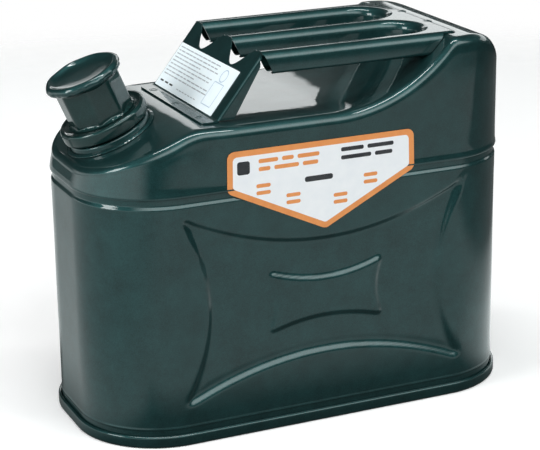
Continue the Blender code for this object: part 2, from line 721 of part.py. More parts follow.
# name, material, profile of each turned piece that carries no thread
TURNED_PIECES = (
    ("neck_base", PAINT, [
        (16.1, 5.5), (27.6, 5.5), (29.2, 5.1), (30.1, 4.2), (30.7, 0.3), (29.5, 0.3),
        (29.0, 3.7), (28.2, 4.4), (16.1, 4.4)]),
    ("neck_collar", PAINT, [
        (16.1, 7.3), (24.6, 7.3), (25.5, 6.9), (25.5, 5.8), (16.1, 5.8)]),
    ("neck_weld_bead", PAINT, [
        (31.05, 1.7), (31.8, 1.5), (33.2, 0.8), (33.6, 0.35), (31.05, 0.35)]),
    ("cap_skirt_ring", CAP_PAINT, [
        (19.2, 15.8), (28.2, 15.8), (29.2, 16.5), (30.4, 16.7), (31.8, 16.0), (32.5, 14.8),
        (32.5, 8.2), (31.9, 7.3), (31.2, 7.3), (31.2, 14.2), (30.3, 14.8), (19.2, 14.8)]),
    ("cap_top_disc", CAP_PAINT, [
        (0, 47.6), (20.0, 47.8), (22.6, 49.4), (24.0, 51.3), (25.2, 51.8), (26.6, 51.3),
        (28.0, 49.9), (28.6, 48.6), (28.5, 46.7), (27.8, 45.5), (26.6, 45.2), (0, 45.2)]),
    ("cap_gasket", RUBBER, [
        (12.9, 40.2), (16.9, 40.2), (16.9, NECK_TOP + GAP), (12.9, NECK_TOP + GAP)]),
    ("cap_seal_plate", ZINC, [
        (0, 42.2), (17.2, 42.2), (17.2, 40.5), (12.4, 40.5), (12.4, 39.6), (0, 39.6)]),
)


def add_neck_axis():
    """An empty that marks the neck's frame."""
    axis = bpy.data.objects.new("neck_axis", None)
    CUTTERS.objects.link(axis)
    axis.matrix_world = NECK


def thread(name, radius, ridge_r, start):
    """A rounded helical ridge that fades at both ends, as a closed swept solid."""
    steps = int(THREAD_TURNS * THREAD_STEPS)
    up = Vector((0, 0, 1))
    bm = bmesh.new()
    rows = []
    for k in range(steps + 1):
        angle = 2 * math.pi * k / THREAD_STEPS
        fade = min(1.0, 0.25 + min(k, steps - k) / 5.0)
        out = Vector((math.cos(angle), math.sin(angle), 0))
        centre = Vector((radius * math.cos(angle), radius * math.sin(angle),
                         start + THREAD_PITCH * k / THREAD_STEPS))
        row = []
        for j in range(THREAD_SIDES):
            around = 2 * math.pi * (j + 0.5) / THREAD_SIDES
            spoke = out * math.cos(around) + up * math.sin(around)
            row.append(bm.verts.new((centre + spoke * ridge_r * fade) * MM))
        rows.append(row)
    join_rows(bm, rows)
    bm.faces.new(rows[0])
    bm.faces.new(rows[-1])
    return helper(name, placed(new_mesh(name, bm), NECK))


def build_filler_neck():
    neck = turned("filler_neck", NECK_PROFILE, ZINC)
    boolean(neck, thread("neck_thread", NECK_R_OUT + 0.35, 0.95, 22.0), "UNION")
    bake(neck)
    tidy(neck)
    shade(neck, 35)


def build_cap_body():
    """Threaded cup inside the grip."""
    cup = turned("cap_body", CUP_PROFILE, CAP_PAINT)
    boolean(cup, thread("cap_thread", CUP_R_IN - 0.1, 0.85, 20.0), "UNION")
    bake(cup)
    tidy(cup)
    set_material(cup.data, CAP_PAINT)
    shade(cup, 30)


def octagon(flat):
    """Plan of the eight-sided grip with rounded corners."""
    reach = flat / math.cos(math.radians(22.5))
    corners = [Vector((reach * math.cos(math.radians(a)), reach * math.sin(math.radians(a))))
               for a in range(0, 360, 45)]
    points = []
    for k, corner in enumerate(corners):
        back, ahead = corners[k - 1] - corner, corners[(k + 1) % 8] - corner
        pull = corner * 0.007
        points += [corner + back * 0.16, corner + back * 0.05 - pull,
                   corner + ahead * 0.05 - pull, corner + ahead * 0.16]
    return points


def build_cap_grip():
    """Octagonal pressed grip: a thin upright wall whose foot is turned outwards."""
    outer, inner = octagon(CAP_FLAT), octagon(CAP_FLAT - CAP_WALL)
    # (plan, scale, height), up the outside and down the inside
    loops = [
        (outer, 1.075, CAP_FOOT), (outer, 1.075, CAP_FOOT + 0.9), (outer, 1.02, CAP_FOOT + 1.7),
        (outer, 1.0, CAP_FOOT + 3.0), (outer, 1.0, CAP_HEAD - 2.4), (outer, 1.03, CAP_HEAD),
        (inner, 1.03, CAP_HEAD), (inner, 1.0, CAP_HEAD - 2.4), (inner, 1.0, CAP_FOOT),
    ]
    bm = bmesh.new()
    rows = [[bm.verts.new(Vector((point.x * scale, point.y * scale, z)) * MM)
             for point in points] for points, scale, z in loops]
    join_rows(bm, rows + rows[:1])
    grip = add_object("cap_grip", placed(new_mesh("cap_grip", bm), NECK), CAP_PAINT)
    shade(grip, 30)


# ---- labels ------------------------------------------------------------------
LABEL_T = 0.2
# corners in (x, z) on the tank's front, and in the front plate's own frame
FRONT_LABEL = [(-73.5, 183.5), (2.0, 147.5), (73.5, 183.5), (72.8, 213.0), (-73.0, 213.0)]
PLATE_LABEL = [(-50.5, 2.2), (61.0, 2.2), (61.0, 39.6), (-50.5, 39.6)]


def rounded_polygon(corners, radius, steps):
    points = []
    for k, corner in enumerate(corners):
        apex = Vector(corner)
        back = (Vector(corners[k - 1]) - apex).normalized()
        ahead = (Vector(corners[(k + 1) % len(corners)]) - apex).normalized()
        half = math.acos(max(-1, min(1, back.dot(ahead)))) / 2
        cut = radius / math.tan(half)
        centre = apex + (back + ahead).normalized() * radius / math.sin(half)
        first, last = apex + back * cut - centre, apex + ahead * cut - centre
        start = math.atan2(first.y, first.x)
        sweep = math.atan2(last.y, last.x) - start
        sweep = (sweep + math.pi) % (2 * math.pi) - math.pi
        for i in range(steps + 1):
            angle = start + sweep * i / steps
            points.append(tuple(centre + Vector((math.cos(angle), math.sin(angle))) * radius))
    return points


def add_label(name, outline, matrix):
    """A flat sheet cut to an outline, centred on the plane given by matrix."""
    mesh = prism(name, outline, -LABEL_T / 2, LABEL_T / 2)
    add_object(name, placed(mesh, matrix), LABEL)


def build_labels():
    stand_off = GAP + LABEL_T / 2
    upright = Matrix((
        (1, 0, 0, 0), (0, 0, -1, -(HALF_WIDTH + stand_off) * MM), (0, 1, 0, 0), (0, 0, 0, 1)))
    on_plate = PLATE @ Matrix.Translation((0, 0, stand_off * MM))
    add_label("front_label", rounded_polygon(FRONT_LABEL, 5.0, 4), upright)
    add_label("instruction_label", rounded_polygon(PLATE_LABEL, 0.8, 2), on_plate)


# ---- assembly ----------------------------------------------------------------
build_body_shell()
build_bottom_pan()
build_top_shell()
build_handle_plate()
build_spot_welds()
add_neck_axis()
build_filler_neck()
build_cap_grip()
build_cap_body()
for piece_name, piece_material, piece_profile in TURNED_PIECES:
    turned(piece_name, piece_profile, piece_material)
build_labels()

# centre the overall length on the origin; matrix_world must be up to date first
bpy.context.view_layer.update()
for piece in PARTS.objects:
    piece.matrix_world = Matrix.Translation((OVERHANG * MM, 0, 0)) @ piece.matrix_world
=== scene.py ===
"""Looks of the ten-litre pressed-steel fuel can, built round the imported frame."""

import math

import bmesh
import bpy
import numpy as np
from mathutils import Matrix, Vector, noise


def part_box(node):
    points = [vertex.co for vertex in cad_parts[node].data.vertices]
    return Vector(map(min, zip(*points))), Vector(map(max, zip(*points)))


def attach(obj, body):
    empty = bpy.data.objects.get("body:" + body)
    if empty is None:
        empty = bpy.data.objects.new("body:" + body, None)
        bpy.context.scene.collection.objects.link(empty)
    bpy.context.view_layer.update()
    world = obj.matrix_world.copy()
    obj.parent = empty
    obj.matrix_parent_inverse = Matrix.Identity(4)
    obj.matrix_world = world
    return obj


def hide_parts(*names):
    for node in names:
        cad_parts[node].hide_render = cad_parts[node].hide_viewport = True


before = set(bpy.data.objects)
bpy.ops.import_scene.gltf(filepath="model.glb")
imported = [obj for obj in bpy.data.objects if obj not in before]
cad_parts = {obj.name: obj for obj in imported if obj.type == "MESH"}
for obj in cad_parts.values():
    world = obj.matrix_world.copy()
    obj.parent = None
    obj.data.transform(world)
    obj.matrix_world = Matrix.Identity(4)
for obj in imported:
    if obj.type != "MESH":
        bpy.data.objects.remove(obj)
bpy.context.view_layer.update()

MM = 0.001

# ------------------------------------------------------------------ sizes read from the frame (mm)


def box_mm(node):
    low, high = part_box(node)
    return [c / MM for c in low], [c / MM for c in high]


top_low, top_high = box_mm("top_shell")
body_low, body_high = box_mm("body_shell")
handle_low, handle_high = box_mm("handle_plate")
pan_low, pan_high = box_mm("bottom_pan")
CX = (top_low[0] + top_high[0]) / 2                 # middle of the tank
A = (top_high[0] - top_low[0]) / 2                  # half length of the tank wall
B = (top_high[1] - top_low[1]) / 2                  # half width
Z_SEAM = top_low[2]
Z_BLOCK = top_high[2]
Z_TOP = handle_high[2]
Z_DECK = handle_low[2] - 0.3
CHIME_OUT = (pan_high[1] - pan_low[1]) / 2 - B - 0.4

# shape constants that go with those boxes (mm, degrees)
R = 61.5
SHEET, GAP = 0.8, 0.3
Z_NECKED, NECKED_IN, Z_BODY_TOP = 178.5, 1.3, body_high[2]
X_CREASE, TILT = -95.0, 23.0
X_RISE, RISE_R, END_R = 12.0, 122.0, 46.0
SHOULDER_R, SHOULDER_R_END = 7.0, 3.5
HANDLE_T = 1.0
BAR_W, BAR_PITCH, BAR_H = 15.5, 57.0, 16.0
BAR_R_TOP, BAR_R_LOW = 6.4, 3.6
HANDLE_W = handle_high[1] - handle_low[1]
PLATE_HALF, SCALLOP_HALF, SCALLOP_DEPTH = 62.5, 22.4, 16.5
X_FOOT, X_BEND, FOOT_FLANGE = -73.8, -37.5, 10.5
X_SLOT_END, X_PAD_END = 102.0, 121.0
PLATE_FLANGE = 10.4
PANEL_X, PANEL_DEPTH = 3.5, 2.5
NECK_X = -129.8
PLATE_ANGLE = math.atan2(Z_TOP - Z_DECK - 1.0, X_BEND - X_FOOT)
SLOPE = math.tan(math.radians(TILT))
RISE_X_END = X_RISE + math.sqrt(RISE_R ** 2 - (RISE_R - (Z_BLOCK - Z_DECK)) ** 2)
NECK_Z = Z_DECK + (NECK_X - X_CREASE) * SLOPE

SHIFT = Matrix.Translation((CX * MM, 0, 0))
NECK = SHIFT @ Matrix.Translation(Vector((NECK_X, 0, NECK_Z)) * MM) @ Matrix.Rotation(math.radians(-TILT), 4, "Y")
PLATE = SHIFT @ Matrix.Translation(Vector((X_FOOT, 0, Z_DECK + GAP)) * MM) @ Matrix((
    (0, math.cos(PLATE_ANGLE), -math.sin(PLATE_ANGLE), 0), (1, 0, 0, 0),
    (0, math.sin(PLATE_ANGLE), math.cos(PLATE_ANGLE), 0), (0, 0, 0, 1)))


# ------------------------------------------------------------------ materials


def new_material(name):
    m = bpy.data.materials.new(name)
    m.use_nodes = True
    tree = m.node_tree
    for node in list(tree.nodes):
        tree.nodes.remove(node)
    out = tree.nodes.new("ShaderNodeOutputMaterial")
    shader = tree.nodes.new("ShaderNodeBsdfPrincipled")
    tree.links.new(shader.outputs[0], out.inputs[0])
    return m, tree, shader


def noise_node(tree, scale, detail=3.0, rough=0.5, coords="Object"):
    tex = tree.nodes.new("ShaderNodeTexCoord")
    n = tree.nodes.new("ShaderNodeTexNoise")
    n.inputs["Scale"].default_value = scale
    n.inputs["Detail"].default_value = detail
    n.inputs["Roughness"].default_value = rough
    tree.links.new(tex.outputs[coords], n.inputs["Vector"])
    return n


def ramp(tree, source, stops):
    r = tree.nodes.new("ShaderNodeValToRGB")
    while len(r.color_ramp.elements) < len(stops):
        r.color_ramp.elements.new(0.5)
    for e, (pos, colour) in zip(r.color_ramp.elements, stops):
        e.position = pos
        e.color = (*colour, 1.0)
    tree.links.new(source, r.inputs[0])
    return r


def bump(tree, height, strength, distance, normal=None):
    b = tree.nodes.new("ShaderNodeBump")
    b.inputs["Strength"].default_value = strength
    b.inputs["Distance"].default_value = distance
    tree.links.new(height, b.inputs["Height"])
    if normal is not None:
        tree.links.new(normal, b.inputs["Normal"])
    return b


def enamel(name, dark, light, orange_peel=1.0):
    """Sprayed gloss enamel: a fine metallic flake base under a clear coat with a little orange peel."""
    m, tree, shader = new_material(name)
    mottled = noise_node(tree, 55.0, 5.0, 0.65)
    flake = noise_node(tree, 1500.0, 2.0, 0.7)
    mix = tree.nodes.new("ShaderNodeMath")
    mix.operation = "MULTIPLY_ADD"
    tree.links.new(flake.outputs["Fac"], mix.inputs[0])
    mix.inputs[1].default_value = 0.9
    scaled = tree.nodes.new("ShaderNodeMath")
    scaled.operation = "MULTIPLY_ADD"
    tree.links.new(mottled.outputs["Fac"], scaled.inputs[0])
    scaled.inputs[1].default_value = 0.6
    scaled.inputs[2].default_value = -0.25
    tree.links.new(scaled.outputs[0], mix.inputs[2])
    colour = ramp(tree, mix.outputs[0], [(0.25, dark), (0.75, light)])
    tree.links.new(colour.outputs[0], shader.inputs["Base Color"])
    shader.inputs["Metallic"].default_value = 0.72
    rough = noise_node(tree, 18.0, 4.0, 0.6)
    values = ramp(tree, rough.outputs["Fac"], [(0.3, (0.42, 0.42, 0.42)), (0.75, (0.50, 0.50, 0.50))])
    tree.links.new(values.outputs[0], shader.inputs["Roughness"])
    shader.inputs["Specular IOR Level"].default_value = 0.1
    shader.inputs["Coat Weight"].default_value = 1.0
    shader.inputs["Coat Roughness"].default_value = 0.03
    shader.inputs["Coat IOR"].default_value = 1.5
    peel = noise_node(tree, 260.0, 2.0, 0.5)
    wave = noise_node(tree, 38.0, 1.5, 0.4)
    first = bump(tree, wave.outputs["Fac"], 0.10 * orange_peel, 0.0006)
    second = bump(tree, peel.outputs["Fac"], 0.05 * orange_peel, 0.0002, first.outputs[0])
    tree.links.new(second.outputs[0], shader.inputs["Coat Normal"])
    tree.links.new(first.outputs[0], shader.inputs["Normal"])
    return m


def zinc(name):
    m, tree, shader = new_material(name)
    spangle = tree.nodes.new("ShaderNodeTexVoronoi")
    spangle.inputs["Scale"].default_value = 260.0
    tex = tree.nodes.new("ShaderNodeTexCoord")
    tree.links.new(tex.outputs["Object"], spangle.inputs["Vector"])
    colour = ramp(tree, spangle.outputs["Distance"], [(0.1, (0.50, 0.51, 0.50)), (0.9, (0.70, 0.70, 0.66))])
    tree.links.new(colour.outputs[0], shader.inputs["Base Color"])
    shader.inputs["Metallic"].default_value = 1.0
    n = noise_node(tree, 90.0, 4.0, 0.6)
    rough = ramp(tree, n.outputs["Fac"], [(0.3, (0.28, 0.28, 0.28)), (0.7, (0.45, 0.45, 0.45))])
    tree.links.new(rough.outputs[0], shader.inputs["Roughness"])
    b = bump(tree, n.outputs["Fac"], 0.15, 0.0002)
    tree.links.new(b.outputs[0], shader.inputs["Normal"])
    return m


def rubber(name):
    m, tree, shader = new_material(name)
    n = noise_node(tree, 700.0, 3.0, 0.6)
    colour = ramp(tree, n.outputs["Fac"], [(0.3, (0.012, 0.012, 0.013)), (0.7, (0.03, 0.03, 0.032))])
    tree.links.new(colour.outputs[0], shader.inputs["Base Color"])
    shader.inputs["Roughness"].default_value = 0.68
    b = bump(tree, n.outputs["Fac"], 0.3, 0.0001)
    tree.links.new(b.outputs[0], shader.inputs["Normal"])
    return m


def vinyl(name, dark, light, rough=0.33):
    """Printed vinyl: faint paper-like mottling, slightly uneven gloss."""
    m, tree, shader = new_material(name)
    n = noise_node(tree, 120.0, 4.0, 0.6)
    colour = ramp(tree, n.outputs["Fac"], [(0.3, dark), (0.7, light)])
    tree.links.new(colour.outputs[0], shader.inputs["Base Color"])
    shader.inputs["Roughness"].default_value = rough
    shader.inputs["Specular IOR Level"].default_value = 0.4
    wide = noise_node(tree, 25.0, 2.0, 0.5)
    b = bump(tree, wide.outputs["Fac"], 0.08, 0.0004)
    tree.links.new(b.outputs[0], shader.inputs["Normal"])
    return m


GREEN = enamel("green_enamel", (0.0100, 0.0350, 0.0350), (0.0230, 0.0830, 0.0840))
CAP_GREEN = enamel("cap_enamel", (0.0070, 0.0270, 0.0260), (0.0170, 0.0640, 0.0610), 0.8)
ZINC = zinc("zinc_plate")
RUBBER = rubber("nitrile_rubber")
WHITE = vinyl("label_white", (0.88, 0.90, 0.93), (0.93, 0.94, 0.96))
PLATE_WHITE = vinyl("label_cool_white", (0.82, 0.92, 0.97), (0.87, 0.96, 0.99), 0.4)
PALE = vinyl("label_pale", (0.40, 0.52, 0.64), (0.46, 0.58, 0.69))
ORANGE = vinyl("label_orange", (0.78, 0.28, 0.085), (0.86, 0.34, 0.11))
INK = vinyl("label_ink", (0.020, 0.022, 0.026), (0.045, 0.048, 0.052), 0.4)
GREY_INK = vinyl("label_grey_ink", (0.30, 0.33, 0.36), (0.42, 0.45, 0.48), 0.4)


# ------------------------------------------------------------------ mesh helpers


def finish_bm(bm, name, material, matrix=None, smooth=30.0, weighted=False):
    if matrix is not None:
        bmesh.ops.transform(bm, matrix=matrix, verts=bm.verts)
    bmesh.ops.recalc_face_normals(bm, faces=bm.faces)
    mesh = bpy.data.meshes.new(name)
    bm.to_mesh(mesh)
    bm.free()
    obj = bpy.data.objects.new(name, mesh)
    bpy.context.scene.collection.objects.link(obj)
    if material:
        mesh.materials.append(material)
    if smooth:
        mesh.shade_smooth()
        mesh.set_sharp_from_angle(angle=math.radians(smooth))
    return obj


def bake(obj):
    """Applies the object's modifiers."""
    bpy.context.view_layer.update()
    graph = bpy.context.evaluated_depsgraph_get()
    mesh = bpy.data.meshes.new_from_object(obj.evaluated_get(graph), depsgraph=graph)
    obj.modifiers.clear()
    obj.data = mesh
    return obj


def boolean(obj, other, operation="DIFFERENCE", delete=True):
    mod = obj.modifiers.new("b", "BOOLEAN")
    mod.operation = operation
    mod.solver = "EXACT"
    mod.object = other
    bake(obj)
    if delete:
        bpy.data.objects.remove(other, do_unlink=True)
    return obj


def merge(obj, distance=0.01):
    bm = bmesh.new()
    bm.from_mesh(obj.data)
    bmesh.ops.remove_doubles(bm, verts=bm.verts, dist=distance * MM)
    bmesh.ops.dissolve_degenerate(bm, dist=distance * MM, edges=bm.edges)
    bm.to_mesh(obj.data)
    bm.free()
    return obj


def reshade(obj, material, angle=30.0):
    obj.data.materials.clear()
    obj.data.materials.append(material)
    for p in obj.data.polygons:
        p.material_index = 0
    obj.data.shade_smooth()
    obj.data.set_sharp_from_angle(angle=math.radians(angle))
    return obj


def weighted_normals(obj):
    mod = obj.modifiers.new("normals", "WEIGHTED_NORMAL")
    mod.keep_sharp = True
    mod.weight = 80
    return obj


def solid(obj, thickness, offset=-1.0):
    mod = obj.modifiers.new("sheet", "SOLIDIFY")
    mod.thickness = thickness * MM
    mod.offset = offset
    mod.use_even_offset = True
    return bake(obj)


def rows_bm(rows, close=True, caps=False):
    """Loops of points (mm) joined into a band."""
    bm = bmesh.new()
    made = [[bm.verts.new((p[0] * MM, p[1] * MM, p[2] * MM)) for p in row] for row in rows]
    for lower, upper in zip(made, made[1:]):
        n = len(lower)
        for i in range(n if close else n - 1):
            j = (i + 1) % n
            bm.faces.new((lower[i], lower[j], upper[j], upper[i]))
    if caps:
        bm.faces.new(list(reversed(made[0])))
        bm.faces.new(made[-1])
    return bm, made


def prism_bm(outline, low, high):
    bm = bmesh.new()
    base = [bm.verts.new((u * MM, v * MM, low * MM)) for u, v in outline]
    face = bm.faces.new(base)
    made = bmesh.ops.extrude_face_region(bm, geom=[face])
    verts = [g for g in made["geom"] if isinstance(g, bmesh.types.BMVert)]
    bmesh.ops.translate(bm, verts=verts, vec=(0, 0, (high - low) * MM))
    bmesh.ops.recalc_face_normals(bm, faces=bm.faces)
    return bm


SIDEWAYS = Matrix(((1, 0, 0, 0), (0, 0, 1, 0), (0, 1, 0, 0), (0, 0, 0, 1)))   # prism drawn in (x, z), extruded along y


def smoothstep(t):
    t = np.clip(t, 0.0, 1.0)
    return t * t * (3 - 2 * t)


def revolve(name, profile, material, segments=128, matrix=NECK, ripple=None, smooth=38.0):
    """Closed profile of (radius, height) turned about the local Z axis; ripple changes the radius with angle."""
    bm = bmesh.new()
    columns = []
    for k in range(segments):
        a = 2 * math.pi * k / segments
        column = []
        for r, z in profile:
            rr = r
            dz = 0.0
            if ripple:
                rr, dz = ripple(a, r, z)
            column.append(bm.verts.new((rr * math.cos(a) * MM, rr * math.sin(a) * MM, (z + dz) * MM)))
        columns.append(column)
    n = len(profile)
    for k in range(segments):
        p, q = columns[k], columns[(k + 1) % segments]
        for i in range(n):
            j = (i + 1) % n
            bm.faces.new((p[i], q[i], q[j], p[j]))
    bmesh.ops.remove_doubles(bm, verts=bm.verts, dist=0.000001)
    bmesh.ops.dissolve_degenerate(bm, dist=0.0000005, edges=bm.edges)
    return finish_bm(bm, name, material, matrix, smooth)


def fillet(points, radii, steps=5):
    """Rounds the corners of a closed polygon; radii of 0 keep a corner."""
    out = []
    n = len(points)
    for k in range(n):
        p, q, r = (Vector(points[(k + d) % n]) for d in (-1, 0, 1))
        radius = radii[k] if isinstance(radii, (list, tuple)) else radii
        if radius <= 0:
            out.append(tuple(q))
            continue
        u, v = (p - q), (r - q)
        lu, lv = u.length, v.length
        u, v = u / lu, v / lv
        half = math.acos(max(-1, min(1, u.dot(v)))) / 2
        if half > math.pi / 2 - 0.02:
            out.append(tuple(q))
            continue
        cut = min(radius / math.tan(half), lu * 0.48, lv * 0.48)
        radius = cut * math.tan(half)
        centre = q + (u + v).normalized() * (radius / math.sin(half))
        a, b = q + u * cut - centre, q + v * cut - centre
        start = math.atan2(a.y, a.x)
        turn = (math.atan2(b.y, b.x) - start + math.pi) % (2 * math.pi) - math.pi
        out += [tuple(centre + Vector((math.cos(start + turn * i / steps), math.sin(start + turn * i / steps))) * radius)
                for i in range(steps + 1)]
    return out


# ------------------------------------------------------------------ plan outline


def plan(xs, arc_steps, end_cells):
    front = []
    for k in range(arc_steps + 1):
        t = math.radians(180 + 90 * k / arc_steps)
        front.append((-(A - R) + R * math.cos(t), -(B - R) + R * math.sin(t), math.cos(t), math.sin(t)))
    front += [(x, -B, 0.0, -1.0) for x in xs]
    for k in range(arc_steps + 1):
        t = math.radians(270 + 90 * k / arc_steps)
        front.append(((A - R) + R * math.cos(t), -(B - R) + R * math.sin(t), math.cos(t), math.sin(t)))
    ends = [-(B - R) + 2 * (B - R) * k / end_cells for k in range(1, end_cells)]
    rear = [(A, y, 1.0, 0.0) for y in ends]
    back = [(x, -y, nx, -ny) for x, y, nx, ny in reversed(front)]
    filler = [(-A, -y, -1.0, 0.0) for y in ends]
    return front + rear + back + filler, len(front)


def dent(x, y, z, seed, size):
    """Smooth low-frequency unevenness of pressed sheet, in mm."""
    return noise.noise(Vector((x / size + seed, y / size - seed, z / size + 2 * seed)))


# ------------------------------------------------------------------ pressed side panels


def pincushion(cx, half, low, high, sag_side, sag_low, sag_high, corner, steps=26):
    def bowed(p, q, sag, n):
        dx, dz = q[0] - p[0], q[1] - p[1]
        length = math.hypot(dx, dz)
        nx, nz = -dz / length, dx / length
        return [(p[0] + dx * t + nx * sag * 4 * t * (1 - t), p[1] + dz * t + nz * sag * 4 * t * (1 - t))
                for t in (k / n for k in range(n + 1))]
    corners = [(cx - half, low), (cx + half, low), (cx + half, high), (cx - half, high)]
    sags = [sag_low, sag_side, sag_high, sag_side]
    outline = []
    for k in range(4):
        here, there = corners[k], corners[(k + 1) % 4]
        side = bowed(here, there, sags[k], 120)
        kept = [p for p in side if math.dist(p, here) > corner and math.dist(p, there) > corner]
        step = max(1, len(kept) // steps)
        chosen = kept[::step]
        if chosen[-1] != kept[-1]:
            chosen.append(kept[-1])
        outline += chosen
        nxt = bowed(there, corners[(k + 2) % 4], sags[(k + 1) % 4], 120)
        first = next(p for p in nxt if math.dist(p, there) > corner)
        last = kept[-1]
        for t in np.linspace(0.08, 0.92, 10):
            outline.append(tuple((1 - t) ** 2 * last[i] + 2 * t * (1 - t) * there[i] + t * t * first[i] for i in (0, 1)))
    return np.array(outline)


OUTER_PANEL = pincushion(PANEL_X, 115.0, 25.5, 172.0, 23.0, 28.0, 31.0, 15.0)
INNER_PANEL = pincushion(PANEL_X, 45.5, 73.5, 119.5, 5.0, 7.5, 9.0, 6.0)


def signed_distance(points, outline):
    """Positive inside the outline."""
    best = np.full(len(points), 1e9)
    inside = np.zeros(len(points), bool)
    nxt = np.roll(outline, -1, axis=0)
    for p, q in zip(outline, nxt):
        d = q - p
        w = points - p
        t = np.clip((w @ d) / max(d @ d, 1e-12), 0, 1)
        best = np.minimum(best, np.hypot(*(w - t[:, None] * d).T))
        crosses = (p[1] > points[:, 1]) != (q[1] > points[:, 1])
        if abs(q[1] - p[1]) > 1e-12:
            at = p[0] + (points[:, 1] - p[1]) * (q[0] - p[0]) / (q[1] - p[1])
            inside ^= crosses & (points[:, 0] < at)
    return np.where(inside, best, -best)


def panel_depth(x, z):
    """How far the wall is pressed in at (x, z) of a flat side, in mm."""
    points = np.column_stack([x, z])
    outer = signed_distance(points, OUTER_PANEL)
    inner = signed_distance(points, INNER_PANEL)
    depth = PANEL_DEPTH * smoothstep((outer + 2.0) / 5.4)
    # a shallow bead along the foot of the step, as deep drawing leaves it
    depth += 0.25 * np.exp(-((outer - 5.0) / 2.2) ** 2)
    depth -= (PANEL_DEPTH - 0.35) * smoothstep((inner + 2.0) / 4.0)
    for cx, cz, lean, height in ((PANEL_X - 108.0, 167.0, 1.0, 0.55), (PANEL_X + 108.0, 167.0, -1.0, 0.25)):
        across = (points[:, 0] - cx) * 0.75 + lean * (points[:, 1] - cz) * 0.66
        away = np.hypot(points[:, 0] - cx, points[:, 1] - cz)
        depth += height * np.exp(-(away / 7.5) ** 2) * np.cos(2 * math.pi * across / 9.0)
    return depth


# ------------------------------------------------------------------ tank body


def body_offset(z):
    """Outward offset of the wall from the tank's outline at height z."""
    if z < 2.9:
        return 1.4 if z < 2.1 else 1.4 * (2.9 - z) / 0.8
    off = 0.34 * math.exp(-((z - 13.6) / 0.75) ** 2)
    start = Z_NECKED - 1.6
    if z > start:
        t = min(1.0, (z - start) / 3.3)
        off -= NECKED_IN * t * t * (3 - 2 * t)
    return off


def build_body():
    step = 1.6
    n = int(round(2 * (A - R) / step))
    xs = [-(A - R) + 2 * (A - R) * k / n for k in range(1, n)]
    loop, _ = plan(xs, 44, 14)
    levels = [1.3, 2.1, 2.5, 2.9, 5.0, 8.0, 10.5, 11.6, 12.2, 12.7, 13.1, 13.6, 14.1, 14.5, 15.0, 15.6, 17.0, 19.0]
    levels += list(np.arange(20.5, 175.1, 1.55))
    levels += [175.8, 176.5, 176.9, 177.3, 177.7, 178.1, 178.5, 178.9, 179.3, 179.7, 180.1, 180.6, 182.0, 185.0, 189.0, Z_BODY_TOP]
    px = np.array([p[0] for p in loop])
    py = np.array([p[1] for p in loop])
    near = np.abs(px) < 126
    rows = []
    for z in levels:
        off = np.full(len(loop), body_offset(z))
        if 18.0 < z < 176.0:
            depth = np.zeros(len(loop))
            depth[near] = panel_depth(px[near], np.full(near.sum(), z))
            off -= depth
        row = []
        fade = min(1.0, max(0.0, (z - 16.0) / 12.0)) * min(1.0, max(0.0, (176.0 - z) / 12.0))
        for (x, y, nx, ny), o in zip(loop, off):
            w = o + fade * (0.16 * dent(x, y, z, 3.1, 46.0) + 0.05 * dent(x, y, z, 7.7, 17.0)) - 0.1 * fade
            row.append((x + nx * w, y + ny * w, z))
        rows.append(row)
    bm, _ = rows_bm(rows)
    obj = finish_bm(bm, "tank_body", GREEN, SHIFT, 60)
    solid(obj, SHEET)
    reshade(obj, GREEN, 50)
    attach(obj, "can")
    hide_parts("body_shell")
    return obj


# ------------------------------------------------------------------ recessed bottom and rolled seam


def build_pan():
    xs = [-(A - R) + 2 * (A - R) * k / 30 for k in range(1, 30)]
    loop, count = plan(xs, 30, 10)
    path = [(0.75, 8.4), (1.2, 8.32), (1.7, 8.2), (2.05, 7.95), (2.26, 7.5), (2.3, 6.9), (2.3, 2.1), (2.26, 1.5), (2.05, 0.95),
            (1.65, 0.55), (1.2, 0.42), (-0.5, 0.42), (-1.0, 0.5), (-1.4, 0.85), (-1.62, 1.4), (-1.65, 2.2),
            (-1.65, 7.2), (-1.75, 8.1), (-2.1, 8.7), (-2.7, 8.95), (-3.6, 9.0), (-9.0, 9.0), (-12.0, 9.3), (-15.0, 9.9), (-18.0, 10.2)]
    rows = [[(x + nx * off, y + ny * off, z) for x, y, nx, ny in loop] for off, z in path]
    bm, made = rows_bm(rows)
    inner, n, cells = made[-1], len(made[-1]), 10
    grid = []
    for i in range(count):
        front, back = inner[i], inner[n - (cells - 1) - 1 - i]
        column = [front]
        for j in range(1, cells):
            if i == 0:
                column.append(inner[n - j])
            elif i == count - 1:
                column.append(inner[count - 1 + j])
            else:
                t = j / cells
                y = front.co.y * (1 - t) + back.co.y * t
                column.append(bm.verts.new((front.co.x, y, 10.2 * MM)))
        column.append(back)
        grid.append(column)
    for left, right in zip(grid, grid[1:]):
        for j in range(cells):
            bm.faces.new((left[j], right[j], right[j + 1], left[j + 1]))
    obj = finish_bm(bm, "recessed_bottom", GREEN, SHIFT, 60)
    solid(obj, SHEET, 0.0)
    reshade(obj, GREEN, 50)
    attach(obj, "can")
    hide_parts("bottom_pan")
    return obj


# ------------------------------------------------------------------ top shell


